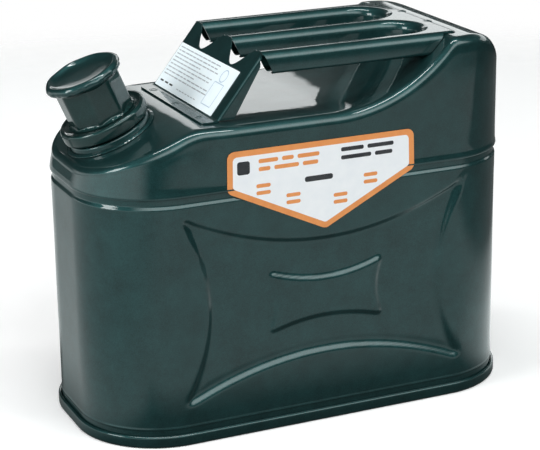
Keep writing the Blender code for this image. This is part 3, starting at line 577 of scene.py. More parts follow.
def deck_height(x):
    blend = 9.0
    if x < X_CREASE - blend:
        return Z_DECK + (x - X_CREASE) * SLOPE
    if x < X_CREASE + blend:
        t = (x - X_CREASE + blend) / (2 * blend)
        return Z_DECK - SLOPE * blend * (1 - t) ** 2
    if x < X_RISE:
        return Z_DECK
    if x < RISE_X_END - 4:
        return Z_DECK + RISE_R - math.sqrt(RISE_R ** 2 - (x - X_RISE) ** 2)
    if x < RISE_X_END + 3:
        z0 = Z_DECK + RISE_R - math.sqrt(RISE_R ** 2 - (RISE_X_END - 4 - X_RISE) ** 2)
        m0 = (RISE_X_END - 4 - X_RISE) / math.sqrt(RISE_R ** 2 - (RISE_X_END - 4 - X_RISE) ** 2)
        t = (x - RISE_X_END + 4) / 7.0
        h00, h10, h01 = 2 * t ** 3 - 3 * t ** 2 + 1, t ** 3 - 2 * t ** 2 + t, -2 * t ** 3 + 3 * t ** 2
        return h00 * z0 + h10 * 7.0 * m0 + h01 * Z_BLOCK
    if x < A - END_R:
        return Z_BLOCK
    return Z_BLOCK - END_R + math.sqrt(max(0.0, END_R ** 2 - (x - (A - END_R)) ** 2))


def shoulder_radius(x):
    t = min(1.0, max(0.0, (x + 155.0) / 45.0))
    return SHOULDER_R_END + (SHOULDER_R - SHOULDER_R_END) * t * t * (3 - 2 * t)


def draft(x):
    """The skirt leans in a little under the sloping deck, as the deep corner of the pressing springs."""
    return 1.5 * float(smoothstep(np.array((-66.0 - x) / 26.0)))


def build_top():
    n = 74
    xs = [-(A - R) + 2 * (A - R) * k / n for k in range(1, n)]
    cells = 44
    loop, count = plan(xs, 36, cells)
    rows = []
    # rolled lower lip, then the skirt
    for off, z in [(-0.95, Z_SEAM + 1.2), (-0.75, Z_SEAM + 0.55), (-0.35, Z_SEAM + 0.12), (0.1, Z_SEAM + 0.02), (0.42, Z_SEAM + 0.32),
                   (0.55, Z_SEAM + 0.9), (0.52, Z_SEAM + 1.7), (0.36, Z_SEAM + 2.7), (0.12, Z_SEAM + 3.9), (0.0, Z_SEAM + 5.2)]:
        rows.append([(x + nx * off, y + ny * off, z) for x, y, nx, ny in loop])
    steps = 14
    for k in range(steps):
        share = (k + 1) / (steps + 1)
        row = []
        for x, y, nx, ny in loop:
            top = deck_height(x) - shoulder_radius(x)
            z = Z_SEAM + 5.2 + (top - Z_SEAM - 5.2) * share
            w = 0.16 * dent(x, y, z, 5.3, 36.0) * min(1, share * 6) * min(1, (1 - share) * 6) - 0.06
            w -= draft(x) * share
            row.append((x + nx * w, y + ny * w, z))
        rows.append(row)
    for k in range(11):
        share = k / 10
        row = []
        for x, y, nx, ny in loop:
            radius = shoulder_radius(x)
            inset = draft(x) + radius * (1 - math.cos(math.radians(90 * share)))
            px, py = x - nx * inset, y - ny * inset
            row.append((px, py, deck_height(px) - radius * (1 - math.sin(math.radians(90 * share)))))
        rows.append(row)
    bm, made = rows_bm(rows)
    inner, total = made[-1], len(made[-1])
    grid = []
    for i in range(count):
        front, back = inner[i], inner[total - (cells - 1) - 1 - i]
        column = [front]
        for j in range(1, cells):
            if i == 0:
                column.append(inner[total - j])
            elif i == count - 1:
                column.append(inner[count - 1 + j])
            else:
                t = j / cells
                x = front.co.x / MM
                y = (front.co.y * (1 - t) + back.co.y * t) / MM
                edge = min(1.0, min(t, 1 - t) * 8)
                sink = -abs(0.12 * dent(x, y, 0.0, 9.1, 34.0)) * edge
                column.append(bm.verts.new((x * MM, y * MM, (deck_height(x) + sink) * MM)))
        column.append(back)
        grid.append(column)
    for left, right in zip(grid, grid[1:]):
        for j in range(cells):
            bm.faces.new((left[j], right[j], right[j + 1], left[j + 1]))
    obj = finish_bm(bm, "top_pressing", GREEN, SHIFT, 60)
    solid(obj, SHEET)
    hole = bmesh.new()
    bmesh.ops.create_cone(hole, cap_ends=True, segments=72, radius1=16.1 * MM, radius2=16.1 * MM, depth=30 * MM)
    boolean(obj, finish_bm(hole, "hole", None, NECK, None))
    merge(obj, 0.005)
    reshade(obj, GREEN, 50)
    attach(obj, "can")
    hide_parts("top_shell")
    return obj


# ------------------------------------------------------------------ carrying handle


def comb(inset, x_front, arc=24):
    half = HANDLE_W / 2 - inset
    x_end = X_PAD_END - inset
    slot_r = (BAR_PITCH - BAR_W) / 2 + inset
    slot_x = X_SLOT_END - (BAR_PITCH - BAR_W) / 2
    corner = 7.0 - inset
    points = [(x_front, -half), (x_end - corner, -half)]
    points += [(x_end - corner + corner * math.sin(t), -half + corner * (1 - math.cos(t)))
               for t in (math.radians(90 * k / 8) for k in range(1, 9))]
    points += [(x_end - corner + corner * math.cos(t), half - corner * (1 - math.sin(t)))
               for t in (math.radians(90 * k / 8) for k in range(0, 8))]
    points += [(x_end - corner, half), (x_front, half)]
    for centre in (BAR_PITCH / 2, -BAR_PITCH / 2):
        points.append((x_front, centre + slot_r))
        points += [(slot_x + slot_r * math.cos(t), centre + slot_r * math.sin(t))
                   for t in (math.radians(90 - 180 * k / arc) for k in range(arc + 1))]
        points.append((x_front, centre - slot_r))
    return points


def bevelled_block(name, outline, low, high, radius, radius_low, segments, segments_low):
    bm = prism_bm(outline, low, high)
    for level, size, count in ((high, radius, segments), (low, radius_low, segments_low)):
        edges = [e for e in bm.edges
                 if all(abs(v.co.z - level * MM) < 1e-7 for v in e.verts)
                 and not all(abs(v.co.x - outline[0][0] * MM) < 1e-7 for v in e.verts)]
        bmesh.ops.bevel(bm, geom=edges, offset=size * MM, segments=count, profile=0.5, affect="EDGES")
    return finish_bm(bm, name, GREEN, None, None)


def build_handle():
    low = Z_TOP - BAR_H
    handle = bevelled_block("carrying_handle", comb(0.0, X_BEND), low, Z_TOP, BAR_R_TOP, BAR_R_LOW, 7, 5)
    hollow = bevelled_block("hollow", comb(HANDLE_T, X_BEND - 12), low + HANDLE_T, Z_TOP - HANDLE_T,
                            BAR_R_TOP - HANDLE_T, BAR_R_LOW - HANDLE_T, 7, 4)
    boolean(handle, hollow)
    boolean(handle, finish_bm(prism_bm(comb(4.4, X_BEND - 12), low - 2, low + HANDLE_T + 0.5), "mouth", None, None, None))
    notch = prism_bm([(X_BEND - 20, low - 5), (X_BEND + 10.0, low - 5), (X_BEND + 0.9, Z_TOP - 1.6), (X_BEND - 20, Z_TOP - 1.6)], -90, 90)
    boolean(handle, finish_bm(notch, "notch", None, SIDEWAYS, None))
    block = [(40.0, Z_DECK - 20), (170.0, Z_DECK - 20), (170.0, Z_BLOCK + GAP), (RISE_X_END - 0.2, Z_BLOCK + GAP)]
    for k in range(24):
        x = RISE_X_END - 0.2 - (RISE_X_END - 40.0) * (k + 1) / 24
        block.append((x - 0.25, Z_DECK + RISE_R - math.sqrt(RISE_R ** 2 - (x - X_RISE) ** 2) + GAP + 0.1))
    boolean(handle, finish_bm(prism_bm(block, -90, 90), "block", None, SIDEWAYS, None))

    # front plate with folded side flanges: one bent channel, then trimmed
    c, s = math.cos(PLATE_ANGLE), math.sin(PLATE_ANGLE)
    length = (Z_TOP - (Z_DECK + GAP)) / s
    half, t, fold = PLATE_HALF, HANDLE_T, 2.0
    outer = fillet([(-half, 0.0), (half, 0.0), (half, -PLATE_FLANGE), (half - t, -PLATE_FLANGE), (half - t, -t), (-half + t, -t),
                    (-half + t, -PLATE_FLANGE), (-half, -PLATE_FLANGE)], [fold, fold, 0, 0, fold - t, fold - t, 0, 0], 6)
    bm = prism_bm(outer, 0.0, length - 0.2)           # drawn in (u, w), extruded up the slope
    to_plate = Matrix(((1, 0, 0, 0), (0, 0, 1, 0), (0, 1, 0, 0), (0, 0, 0, 1)))
    local = Matrix.Translation((-CX * MM, 0, 0)) @ PLATE
    plate = finish_bm(bm, "plate", GREEN, local @ to_plate, None)
    # upper edge: rounded corners, a finger under each bar and a bell-shaped scallop between them
    top = length - 0.2
    edge = [(half + 2, top - 7.0), (half, top - 6.4), (half - 0.35, top - 4.4), (half - 1.1, top - 2.7), (half - 2.2, top - 1.4),
            (half - 3.6, top - 0.6), (half - 5.2, top + 0.05)]
    for centre in (BAR_PITCH / 2, -BAR_PITCH / 2):
        for k in range(41):
            u = 1 - 2 * k / 40
            soft = min(1.0, (1 - abs(u)) * 9)
            edge.append((centre + SCALLOP_HALF * u, top + 0.05 - 0.9 * soft - SCALLOP_DEPTH * math.cos(math.pi / 2 * u) ** 1.5))
    edge += [(-u, v) for u, v in reversed(edge[:7])]
    edge += [(-half - 2, length + 9), (half + 2, length + 9)]
    boolean(plate, finish_bm(prism_bm(edge, -16, 6), "upper_edge", None, local, None))

    # the side flanges taper upwards and clear the deck, drawn in (up the slope, behind)
    def side(points, name):
        bm = bmesh.new()
        ring = [bm.verts.new(((X_FOOT + a * c + b * s) * MM, -90 * MM, (Z_DECK + GAP + a * s - b * c) * MM)) for a, b in points]
        face = bm.faces.new(ring)
        made = bmesh.ops.extrude_face_region(bm, geom=[face])
        verts = [g for g in made["geom"] if isinstance(g, bmesh.types.BMVert)]
        bmesh.ops.translate(bm, verts=verts, vec=(0, 180 * MM, 0))
        return finish_bm(bm, name, None, None, None)
    low_cut = 1.25 / s
    boolean(plate, side([(length - 6.4, 2.0), (length - 7.4, 3.2), (length - 9.5, 4.6), (low_cut + 10.0 * c / s, 10.2), (low_cut + 30, 30),
                         (length + 8, 30), (length + 8, 2.0)], "trim"))
    boolean(plate, side([(-12, -4), (low_cut, 0.0), (low_cut + 14 * c / s, 14.0), (-12, 14)], "foot_trim"))
    boolean(handle, plate, "UNION")
    # foot flange lying on the deck, with a small radius where it turns up
    foot = fillet([(X_FOOT - FOOT_FLANGE, -half), (X_FOOT + 2.6, -half), (X_FOOT + 2.6, half), (X_FOOT - FOOT_FLANGE, half)], [5, 0, 0, 5], 6)
    boolean(handle, finish_bm(prism_bm(foot, Z_DECK + GAP, Z_DECK + GAP + HANDLE_T + 0.01), "foot", None, None, None), "UNION")
    corner = [(X_FOOT - 2.6, Z_DECK + GAP + 0.95)]
    for k in range(9):
        a = k / 8
        corner.append(((X_FOOT - 2.4) * (1 - a) ** 2 + (X_FOOT + 0.75) * 2 * a * (1 - a) + (X_FOOT + 2.4) * a * a,
                       (Z_DECK + GAP + 1.02) * (1 - a) ** 2 + (Z_DECK + GAP + 1.02) * 2 * a * (1 - a) + (Z_DECK + GAP + 2.7) * a * a))
    corner.append((X_FOOT + 2.6, Z_DECK + GAP + 0.95))
    boolean(handle, finish_bm(prism_bm(corner, -half + 1.2, half - 1.2), "foot_radius", None, SIDEWAYS, None), "UNION")
    merge(handle, 0.01)

    # soften the fold where the plate turns into the bars
    bm = bmesh.new()
    bm.from_mesh(handle.data)
    edges = []
    for e in bm.edges:
        v = [w.co / MM for w in e.verts]
        if all(abs(w.z - Z_TOP) < 0.35 and abs(w.x - X_BEND) < 0.5 for w in v) and abs(v[0].y - v[1].y) > 0.8 and e.calc_face_angle(0) > 0.5:
            edges.append(e)
    if edges:
        bmesh.ops.bevel(bm, geom=edges, offset=0.9 * MM, segments=4, profile=0.5, affect="EDGES")
    bm.to_mesh(handle.data)
    bm.free()
    handle.data.transform(SHIFT)
    reshade(handle, GREEN, 32)
    edge = handle.modifiers.new("edge", "BEVEL")
    edge.width = 0.16 * MM
    edge.segments = 2
    edge.limit_method = "ANGLE"
    edge.angle_limit = math.radians(50)
    edge.harden_normals = False
    weighted_normals(handle)
    bake(handle)
    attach(handle, "can")
    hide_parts("handle_plate")
    return handle


def build_welds():
    """Spot-weld marks: a shallow ring of raised metal round a dished centre."""
    for node in sorted(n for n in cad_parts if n.startswith("spot_weld")):
        low, high = box_mm(node)
        x, y = (low[0] + high[0]) / 2, (low[1] + high[1]) / 2
        z = high[2]
        profile = [(0.0, z - 0.25), (0.9, z - 0.2), (1.6, z + 0.02), (2.1, z + 0.28), (2.6, z + 0.33), (3.1, z + 0.22), (3.4, z + 0.06), (3.45, z - 0.6), (2.4, z - 0.7), (2.4, low[2]), (0.0, low[2])]
        place = Matrix.Translation(Vector((x, y, 0)) * MM)
        obj = revolve(node.replace("spot_weld", "weld_mark"), profile, GREEN, 28, place)
        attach(obj, "can")
        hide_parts(node)


# ------------------------------------------------------------------ filler base


def build_filler():
    pieces = [
        ("filler_base_pressing", "neck_base",
         fillet([(16.1, 5.55), (30.1, 5.55), (30.8, 0.3), (29.6, 0.3), (29.0, 4.4), (16.1, 4.4)],
                [0, 1.9, 0, 0, 0.8, 0], 7)),
        ("filler_collar", "neck_collar", fillet([(16.1, 7.3), (25.5, 7.3), (25.5, 5.8), (16.1, 5.8)], [0, 0.6, 0.3, 0], 4)),
        ("filler_weld_bead", "neck_weld_bead", fillet([(31.05, 1.8), (31.9, 1.7), (33.6, 0.7), (33.6, 0.35), (31.05, 0.35)], [0.2, 0.5, 0.4, 0, 0], 4)),
    ]
    for name, node, profile in pieces:
        def ripple(a, r, z, node=node):
            if node == "neck_weld_bead" and z > 0.6:
                return r + 0.10 * math.sin(a * 46) + 0.06 * math.sin(a * 29 + 1), 0.06 * math.sin(a * 46 + 0.7)
            return r, 0.0
        obj = revolve(name, profile, GREEN, 144, NECK, ripple)
        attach(obj, "can")
        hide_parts(node)


# ------------------------------------------------------------------ cap


def smooth_max(a, b, k):
    h = np.clip(0.5 + 0.5 * (a - b) / k, 0, 1)
    return b * (1 - h) + a * h + k * h * (1 - h)


CAP_FLAT, CAP_CORNER, CAP_FOOT, CAP_HEAD = 22.6, 24.05, 16.2, 44.9
CAP_TURN = math.radians(-2.0)


def grip_radius(theta, z):
    """Octagonal grip that runs out into a round flare above and below, leaving an arch at each flat."""
    t = (theta + CAP_TURN + math.pi / 8) % (math.pi / 4) - math.pi / 8
    flat = CAP_FLAT / math.cos(t)
    octagon = -smooth_max(-flat, -CAP_CORNER, 0.45)
    up = max(0.0, (z - 41.3) / 3.6)
    down = max(0.0, (CAP_FOOT + 3.4 - z) / 3.4)
    crimp = 0.22 * math.sin(31 * theta) + 0.14 * math.sin(47 * theta + 1.0)
    flare = CAP_FLAT - 0.7 + 3.4 * up ** 1.7 + (3.2 + crimp) * down ** 1.8
    return float(smooth_max(octagon, flare, 0.4))


def build_cap():
    seg = 192
    angles = [2 * math.pi * k / seg for k in range(seg)]
    heights = list(np.linspace(CAP_FOOT, CAP_FOOT + 4.0, 14)) + list(np.linspace(CAP_FOOT + 5.5, 40.0, 10)) + list(np.linspace(41.0, CAP_HEAD, 13))
    rows = [[(grip_radius(a, z) * math.cos(a), grip_radius(a, z) * math.sin(a), z) for a in angles] for z in heights]
    wall = 1.2
    rows += [[((grip_radius(a, z) - wall) * math.cos(a), (grip_radius(a, z) - wall) * math.sin(a), z) for a in angles] for z in reversed(heights)]
    bm, made = rows_bm(rows)
    for i in range(seg):
        j = (i + 1) % seg
        bm.faces.new((made[-1][i], made[-1][j], made[0][j], made[0][i]))
    grip = finish_bm(bm, "cap_grip_pressing", CAP_GREEN, NECK, 40)
    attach(grip, "cap")
    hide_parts("cap_grip")

    cup = revolve("cap_threaded_cup", fillet([(18.9, 9.4), (18.9, 44.9), (0.0, 44.9), (0.0, 42.6), (17.6, 42.6), (17.6, 9.4)],
                                             [0.3, 0.8, 0, 0, 0.6, 0.3], 4), CAP_GREEN, 96, NECK)
    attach(cup, "cap")
    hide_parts("cap_body")

    def rim(a, r, z):
        if r < 20:
            return r, 0.0
        share = min(1.0, (r - 20) / 6)
        low = min(1.0, max(0.0, (50.4 - z) / 3.0))
        wave = 0.34 * math.cos(8 * (a + CAP_TURN)) + low * (0.16 * math.sin(23 * a) + 0.10 * math.sin(37 * a + 1) + 0.12 * math.sin(13 * a + 2))
        return r + share * wave - 0.30 * share, share * (0.10 * math.sin(5 * a + 0.4) + low * 0.16 * math.sin(19 * a + 0.6))
    profile = [(0.0, 48.5), (8.0, 48.5), (14.0, 48.6), (18.0, 48.9), (20.0, 49.2), (21.6, 49.7), (22.8, 50.3), (23.7, 50.95), (24.5, 51.5), (25.3, 51.75), (26.2, 51.55),
               (27.2, 50.9), (28.0, 50.0), (28.5, 49.0), (28.55, 48.0), (28.3, 46.9), (27.8, 46.1), (27.1, 45.5), (26.2, 45.2), (24.5, 45.15), (0.0, 45.15)]
    disc = revolve("cap_top", profile, GREEN, 240, NECK, rim)
    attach(disc, "cap")
    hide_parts("cap_top_disc")

    def ring_ripple(a, r, z):
        if r > 31.9 and 7.9 < z < 15.4:
            d = min(abs((a - lug + math.pi) % (2 * math.pi) - math.pi) for lug in LUGS)
            w = 1.0 if d < 0.17 else max(0.0, 1 - (d - 0.17) / 0.025)
            return r + 0.5 * w, 0.0
        return r + 0.05 * math.sin(7 * a), 0.05 * math.sin(11 * a + 0.5)
    profile = [(19.2, 15.75), (26.6, 15.7), (28.0, 15.8), (28.9, 16.15), (29.8, 16.6), (30.7, 16.65), (31.5, 16.3), (32.1, 15.6), (32.35, 14.9), (32.4, 14.2), (32.4, 9.2),
               (32.3, 8.5), (32.05, 7.8), (31.6, 7.4), (31.1, 7.35), (31.0, 7.8), (31.0, 14.1), (30.7, 14.6), (30.1, 14.8), (19.2, 14.8)]
    ring = revolve("cap_lower_ring", profile, CAP_GREEN, 288, NECK, ring_ripple)
    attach(ring, "cap")
    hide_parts("cap_skirt_ring")

    # internal thread of the cap, a rounded helical ridge
    steps, pitch, ball, radius = 48, 4.0, 0.85, 17.5
    total = int(2.5 * steps)
    rows = []
    for k in range(total + 1):
        a = 2 * math.pi * k / steps
        size = ball * min(1.0, 0.25 + min(k, total - k) / 10.0)
        row = []
        for j in range(10):
            b = 2 * math.pi * (j + 0.5) / 10
            r = radius + size * math.cos(b)
            row.append((r * math.cos(a), r * math.sin(a), 20.0 + pitch * k / steps + size * math.sin(b)))
        rows.append(row)
    bm, _ = rows_bm(rows, True, True)
    thread = finish_bm(bm, "cap_thread", CAP_GREEN, NECK, 40)
    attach(thread, "cap")


LUGS = [math.radians(-52.0 + 120 * k) for k in range(3)]


# ------------------------------------------------------------------ labels


def sheet(name, outline, low, high, material, matrix, body_node=None, edge=0.0):
    bm = prism_bm(outline, low, high)
    obj = finish_bm(bm, name, material, matrix, 30)
    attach(obj, "can")
    if body_node:
        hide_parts(body_node)
    return obj


def marks(name, shapes, level, material, matrix, thick=0.03):
    """Printed marks: many small flat outlines in one piece."""
    bm = bmesh.new()
    for outline in shapes:
        base = [bm.verts.new((u * MM, v * MM, level * MM)) for u, v in outline]
        face = bm.faces.new(base)
        made = bmesh.ops.extrude_face_region(bm, geom=[face])
        verts = [g for g in made["geom"] if isinstance(g, bmesh.types.BMVert)]
        bmesh.ops.translate(bm, verts=verts, vec=(0, 0, thick * MM))
    obj = finish_bm(bm, name, material, matrix, None)
    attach(obj, "can")
    return obj


def bar(x, y, w, h, radius=0.0):
    points = [(x - w / 2, y - h / 2), (x + w / 2, y - h / 2), (x + w / 2, y + h / 2), (x - w / 2, y + h / 2)]
    return fillet(points, radius, 3) if radius else points


def inset_polygon(points, distance):
    out = []
    n = len(points)
    for k in range(n):
        p, q, r = (Vector(points[(k + d) % n]) for d in (-1, 0, 1))
        u, v = (q - p).normalized(), (r - q).normalized()
        nu, nv = Vector((-u.y, u.x)), Vector((-v.y, v.x))
        m = (nu + nv).normalized()
        out.append(tuple(q + m * (distance / max(0.2, m.dot(nu)))))
    return out


def build_labels():
    low, high = box_mm("front_label")
    face = -low[1]
    pent = [(-73.5, 183.5), (2.0, 147.5), (73.5, 183.5), (72.8, 213.0), (-73.0, 213.0)]
    upright = SHIFT @ Matrix(((1, 0, 0, 0), (0, 0, -1, -(face - 0.1) * MM), (0, 1, 0, 0), (0, 0, 0, 1)))
    sheet("front_sticker_border", fillet(pent, 5.5, 8), -0.1, 0.10, ORANGE, upright, "front_label")
    inner = inset_polygon(pent, 4.2)
    sheet("front_sticker_field", fillet(inner, 3.2, 8), 0.08, 0.16, WHITE, upright)
    # generic printed marks: no lettering
    orange, black = [], []
    for row, widths in ((204.0, (15.0, 9.0, 17.0)), (198.2, (9.0, 19.0, 12.0))):
        x = -49.5
        for w in widths:
            orange.append(bar(x + w / 2, row, w, 3.0, 1.2))
            x += w + 3.0
    for row, widths in ((204.4, (18.0, 21.0)), (198.4, (24.0, 14.0))):
        x = 14.5
        for w in widths:
            black.append(bar(x + w / 2, row, w, 3.0, 1.2))
            x += w + 3.0
    black.append(bar(-61.0, 200.4, 9.6, 9.6, 1.8))
    black.append(bar(-3.0, 186.0, 22.0, 4.0, 1.6))
    for cx, cz in ((-46.0, 183.4), (-23.0, 173.6), (14.0, 168.8), (38.0, 180.6)):
        orange.append(bar(cx, cz + 2.6, 11.0, 2.8, 1.2))
        orange.append(bar(cx, cz - 2.6, 11.0, 2.8, 1.2))
    marks("front_sticker_orange_bars", orange, 0.155, ORANGE, upright)
    marks("front_sticker_black_bars", black, 0.155, INK, upright)

    plate = PLATE @ Matrix.Translation((0, 0, (GAP + 0.1) * MM))
    base = fillet([(-50.5, 2.2), (59.4, 2.2), (59.4, 39.6), (-50.5, 39.6)], 0.8, 4)
    sheet("instruction_sticker", base, -0.1, 0.10, PLATE_WHITE, plate, "instruction_label")
    grey, dark, pale = [], [], []
    rng = np.random.default_rng(4)
    for line in range(9):
        y = 36.5 - line * 2.9
        x = 56.5
        while x > -18:
            w = float(rng.uniform(2.6, 8.5))
            if line in (3, 6) and x < 8:
                break
            grey.append(bar(x - w / 2, y, w, 0.85))
            x -= w + float(rng.uniform(0.7, 1.6))
    for k in range(3):
        w = 6.0
        dark.append(bar(52.0 - 9.0 * k, 7.3, w, 1.3, 0.3))
    for k in range(7):
        grey.append(bar(20.0 - 5.4 * k, 6.6 - 0.0 * k, 3.8, 0.62))
    ring_out = [(-33.0 + 5.2 * math.cos(a), 31.5 + 5.2 * math.sin(a)) for a in (2 * math.pi * k / 40 for k in range(40))]
    for k in range(40):
        a0, a1 = 2 * math.pi * k / 40, 2 * math.pi * (k + 1) / 40
        pale.append([(-33.0 + r * math.cos(a), 31.5 + r * math.sin(a)) for r, a in ((4.4, a0), (5.2, a0), (5.2, a1), (4.4, a1))])
    for points in (bar(-33, 25.4, 16, 0.7), bar(-33, 7.0, 16, 0.7), bar(-41, 16.2, 0.7, 18.0), bar(-25, 16.2, 0.7, 18.0)):
        pale.append(points)
    marks("instruction_sticker_lines", grey, 0.095, GREY_INK, plate)
    marks("instruction_sticker_heads", dark, 0.095, INK, plate)
    marks("instruction_sticker_diagram", pale, 0.095, PALE, plate)


# ------------------------------------------------------------------ carried-over pieces of the frame


def paint_frame():
    for node, material in (("filler_neck", ZINC), ("cap_seal_plate", ZINC), ("cap_gasket", RUBBER)):
        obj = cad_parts[node]
        obj.data.materials.clear()
        obj.data.materials.append(material)


build_body()
build_pan()
build_top()
build_handle()
build_welds()
build_filler()
build_cap()
build_labels()
paint_frame()


# ------------------------------------------------------------------ stage, light and camera


def build_floor():
    """A pale sheet of paper under the can. The camera sees it near white. To all other rays it is a glowing sheet
    whose strength is painted light and shade: darker off the filler end, lighter off the far end, and a painted shadow
    close under the sides."""
    bm = bmesh.new()
    bmesh.ops.create_circle(bm, cap_ends=True, segments=96, radius=1.5)
    obj = finish_bm(bm, "floor", None, Matrix.Translation((0, 0, -0.0002)), None)
    m, tree, shader = new_material("floor_paper_and_painted_glow")
    n = noise_node(tree, 40.0, 3.0)
    path = tree.nodes.new("ShaderNodeLightPath")
    tex = tree.nodes.new("ShaderNodeTexCoord")
    split = tree.nodes.new("ShaderNodeSeparateXYZ")
    tree.links.new(tex.outputs["Object"], split.inputs[0])

    def span(value, low, high, out_low=0.0, out_high=1.0):
        node = tree.nodes.new("ShaderNodeMapRange")
        node.interpolation_type = "SMOOTHSTEP"
        node.inputs["From Min"].default_value, node.inputs["From Max"].default_value = low, high
        node.inputs["To Min"].default_value, node.inputs["To Max"].default_value = out_low, out_high
        tree.links.new(value, node.inputs["Value"])
        return node.outputs[0]

    def combine(operation, p, q):
        node = tree.nodes.new("ShaderNodeMath")
        node.operation = operation
        for i, v in enumerate((p, q)):
            if isinstance(v, (int, float)):
                node.inputs[i].default_value = v
            else:
                tree.links.new(v, node.inputs[i])
        return node.outputs[0]

    x, y = split.outputs[0], split.outputs[1]
    left = span(x, -0.16, -0.42, 0.0, FLOOR_LEFT)
    right = combine("MULTIPLY", span(x, 0.10, 0.24, 0.0, FLOOR_RIGHT), combine("MULTIPLY", span(y, -0.22, -0.12), span(x, 0.36, 0.27)))
    ground = combine("MULTIPLY", combine("MAXIMUM", span(x, 0.50, 0.36, 0.22, 1.0), span(y, -0.40, -0.55)), FLOOR_GLOW)
    painted_glow_strength = combine("ADD", combine("ADD", left, right), ground)
    # painted shade: close to the can the glow is dimmed to 0.12, a painted contact shadow in what the can reflects
    clear = combine("MAXIMUM", span(combine("ABSOLUTE", y, 0.0), 0.11, 0.20), span(combine("ABSOLUTE", x, 0.0), 0.15, 0.21))
    painted_glow_strength = combine("MULTIPLY", painted_glow_strength, combine("MAXIMUM", clear, 0.12))   # dim close to the can
    # painted light: to every ray but the camera's the floor is an emission, with its strength painted by position
    painted_floor_glow = tree.nodes.new("ShaderNodeEmission")
    tree.links.new(painted_glow_strength, painted_floor_glow.inputs["Strength"])
    painted_floor_glow.inputs["Color"].default_value = (0.93, 1.0, 1.0, 1.0)
    light = ramp(tree, n.outputs["Fac"], [(0.3, (0.93, 0.93, 0.93)), (0.7, (0.96, 0.96, 0.96))])
    tree.links.new(light.outputs[0], shader.inputs["Base Color"])
    shader.inputs["Roughness"].default_value = 0.9
    shader.inputs["Specular IOR Level"].default_value = 0.05
    shader.inputs["Emission Color"].default_value = (1.0, 1.0, 1.0, 1.0)
    shader.inputs["Emission Strength"].default_value = 0.16
    pick = tree.nodes.new("ShaderNodeMixShader")
    tree.links.new(path.outputs["Is Camera Ray"], pick.inputs[0])
    tree.links.new(painted_floor_glow.outputs[0], pick.inputs[1])
    tree.links.new(shader.outputs[0], pick.inputs[2])
    clear = tree.nodes.new("ShaderNodeBsdfTransparent")
    mix = tree.nodes.new("ShaderNodeMixShader")
    length = tree.nodes.new("ShaderNodeVectorMath")
    length.operation = "LENGTH"
    tree.links.new(tex.outputs["Object"], length.inputs[0])
    tree.links.new(span(length.outputs["Value"], 1.05, 1.40), mix.inputs[0])
    tree.links.new(pick.outputs[0], mix.inputs[1])
    tree.links.new(clear.outputs[0], mix.inputs[2])
    tree.links.new(mix.outputs[0], next(x for x in tree.nodes if x.type == "OUTPUT_MATERIAL").inputs[0])
    obj.data.materials.append(m)


# strength of the floor's painted glow: overall level, the change off the filler end, the change off the far end
FLOOR_GLOW, FLOOR_LEFT, FLOOR_RIGHT = 0.66, -0.18, 0.30
build_floor()


def area(name, location, target, size_x, size_y, watts, colour=(1, 1, 1)):
    light = bpy.data.lights.new(name, "AREA")
    light.shape = "RECTANGLE"
    light.size, light.size_y = size_x, size_y
    light.energy = watts
    light.color = colour
    obj = bpy.data.objects.new(name, light)
    obj.location = location
    obj.rotation_euler = (Vector(target) - Vector(location)).to_track_quat("-Z", "Y").to_euler()
    bpy.context.scene.collection.objects.link(obj)
    return obj


area("overhead_strip", (-0.1, -0.15, 1.9), (0, 0, 0.1), 1.6, 0.14, 17.0)
area("side_softbox", (-2.2, -0.3, 1.0), (0, 0, 0.15), 0.8, 1.0, 24.0)


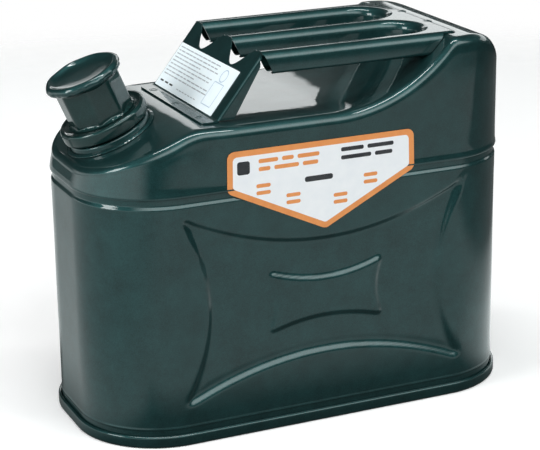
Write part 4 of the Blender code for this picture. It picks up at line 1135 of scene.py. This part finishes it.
def build_world():
    """White to the camera; to everything else a studio: a bright paper band behind to the right, a softbox card high
    in front, pale low to the left, near black elsewhere.
    """
    world = bpy.data.worlds.new("studio")
    bpy.context.scene.world = world
    world.use_nodes = True
    tree = world.node_tree
    for node in list(tree.nodes):
        tree.nodes.remove(node)
    out = tree.nodes.new("ShaderNodeOutputWorld")
    see = tree.nodes.new("ShaderNodeBackground")
    see.inputs[0].default_value = (1, 1, 1, 1)
    see.inputs[1].default_value = 1.0
    env = tree.nodes.new("ShaderNodeBackground")
    mix = tree.nodes.new("ShaderNodeMixShader")
    path = tree.nodes.new("ShaderNodeLightPath")
    tree.links.new(path.outputs["Is Camera Ray"], mix.inputs[0])
    tree.links.new(env.outputs[0], mix.inputs[1])
    tree.links.new(see.outputs[0], mix.inputs[2])
    tree.links.new(mix.outputs[0], out.inputs[0])

    tex = tree.nodes.new("ShaderNodeTexCoord")
    split = tree.nodes.new("ShaderNodeSeparateXYZ")
    tree.links.new(tex.outputs["Generated"], split.inputs[0])

    def math_node(op, a, b=None, c=None):
        n = tree.nodes.new("ShaderNodeMath")
        n.operation = op
        for i, v in enumerate((a, b, c)):
            if v is None:
                continue
            if isinstance(v, (int, float)):
                n.inputs[i].default_value = v
            else:
                tree.links.new(v, n.inputs[i])
        return n.outputs[0]

    def span(value, low, high):
        n = tree.nodes.new("ShaderNodeMapRange")
        n.interpolation_type = "SMOOTHSTEP"
        tree.links.new(value, n.inputs["Value"])
        n.inputs["From Min"].default_value = low
        n.inputs["From Max"].default_value = high
        return n.outputs[0]

    x, y, z = split.outputs

    def patch(low_x, high_x, low_z, high_z, soft, side):
        """A soft-edged bright card: between two bearings (x over |y|) and two heights, on one side in y."""
        ahead = math_node("MULTIPLY", y, float(side))
        bearing = math_node("DIVIDE", x, math_node("MAXIMUM", ahead, 0.02))
        card = span(ahead, 0.02, 0.10)
        card = math_node("MULTIPLY", card, span(bearing, low_x - soft, low_x + soft))
        card = math_node("MULTIPLY", card, math_node("SUBTRACT", 1.0, span(bearing, high_x - soft, high_x + soft)))
        card = math_node("MULTIPLY", card, span(z, low_z - soft / 4, low_z + soft / 4))
        return math_node("MULTIPLY", card, math_node("SUBTRACT", 1.0, span(z, high_z - soft / 4, high_z + soft / 4)))

    # paper sweep behind, to the right: a band whose lower edge drops further round
    bearing = math_node("DIVIDE", x, math_node("MAXIMUM", y, 0.02))
    foot = math_node("SUBTRACT", 0.226, math_node("MULTIPLY", span(bearing, 0.50, 0.55), 0.09))
    band = math_node("MULTIPLY", span(y, 0.02, 0.10), span(bearing, 0.0, 0.16))
    band = math_node("MULTIPLY", band, span(math_node("SUBTRACT", z, foot), -0.006, 0.006))
    band = math_node("MULTIPLY", band, math_node("SUBTRACT", 1.0, span(z, 0.34, 0.37)))
    total = math_node("MULTIPLY", band, 1.8)
    total = math_node("ADD", total, math_node("MULTIPLY", patch(-0.9, 1.6, 0.40, 0.80, 0.55, -1), 3.5))   # front softbox
    left = math_node("MULTIPLY", span(math_node("MULTIPLY", x, -1.0), 0.35, 0.70), math_node("SUBTRACT", 1.0, span(z, 0.02, 0.22)))
    total = math_node("ADD", total, math_node("MULTIPLY", left, 1.2))
    total = math_node("ADD", total, 0.02)
    tree.links.new(total, env.inputs[1])
    env.inputs[0].default_value = (0.97, 1.0, 1.0, 1)


build_world()

scene = bpy.context.scene
scene.view_settings.view_transform = "Standard"
scene.view_settings.look = "None"

# camera at the photograph's viewing angle: 24.2 degrees to the filler side, 18.1 degrees above
camera = bpy.data.cameras.new("camera")
camera_object = bpy.data.objects.new("camera", camera)
scene.collection.objects.link(camera_object)
azimuth, elevation, roll = math.radians(-24.187), math.radians(18.08), math.radians(-0.756)
back = Vector((-0.38949, -0.86717, 0.31034)).normalized()
right = Vector((math.cos(azimuth), math.sin(azimuth), 0))
up = back.cross(right)
rolled_right = right * math.cos(roll) + up * math.sin(roll)
rolled_up = up * math.cos(roll) - right * math.sin(roll)
place = Vector((-0.56812, -1.27634, 0.58371)) * 0.971 + Vector((CX * MM, 0, 0))
camera_object.matrix_world = Matrix((
    (rolled_right.x, rolled_up.x, back.x, place.x),
    (rolled_right.y, rolled_up.y, back.y, place.y),
    (rolled_right.z, rolled_up.z, back.z, place.z),
    (0, 0, 0, 1)))
camera.sensor_width = 36.0
camera.lens = 1884.99 / 540 * 36.0
camera.shift_x = 0.5 - 283.68 / 540
camera.shift_y = (228.75 - 225) / 540
scene.camera = camera_object
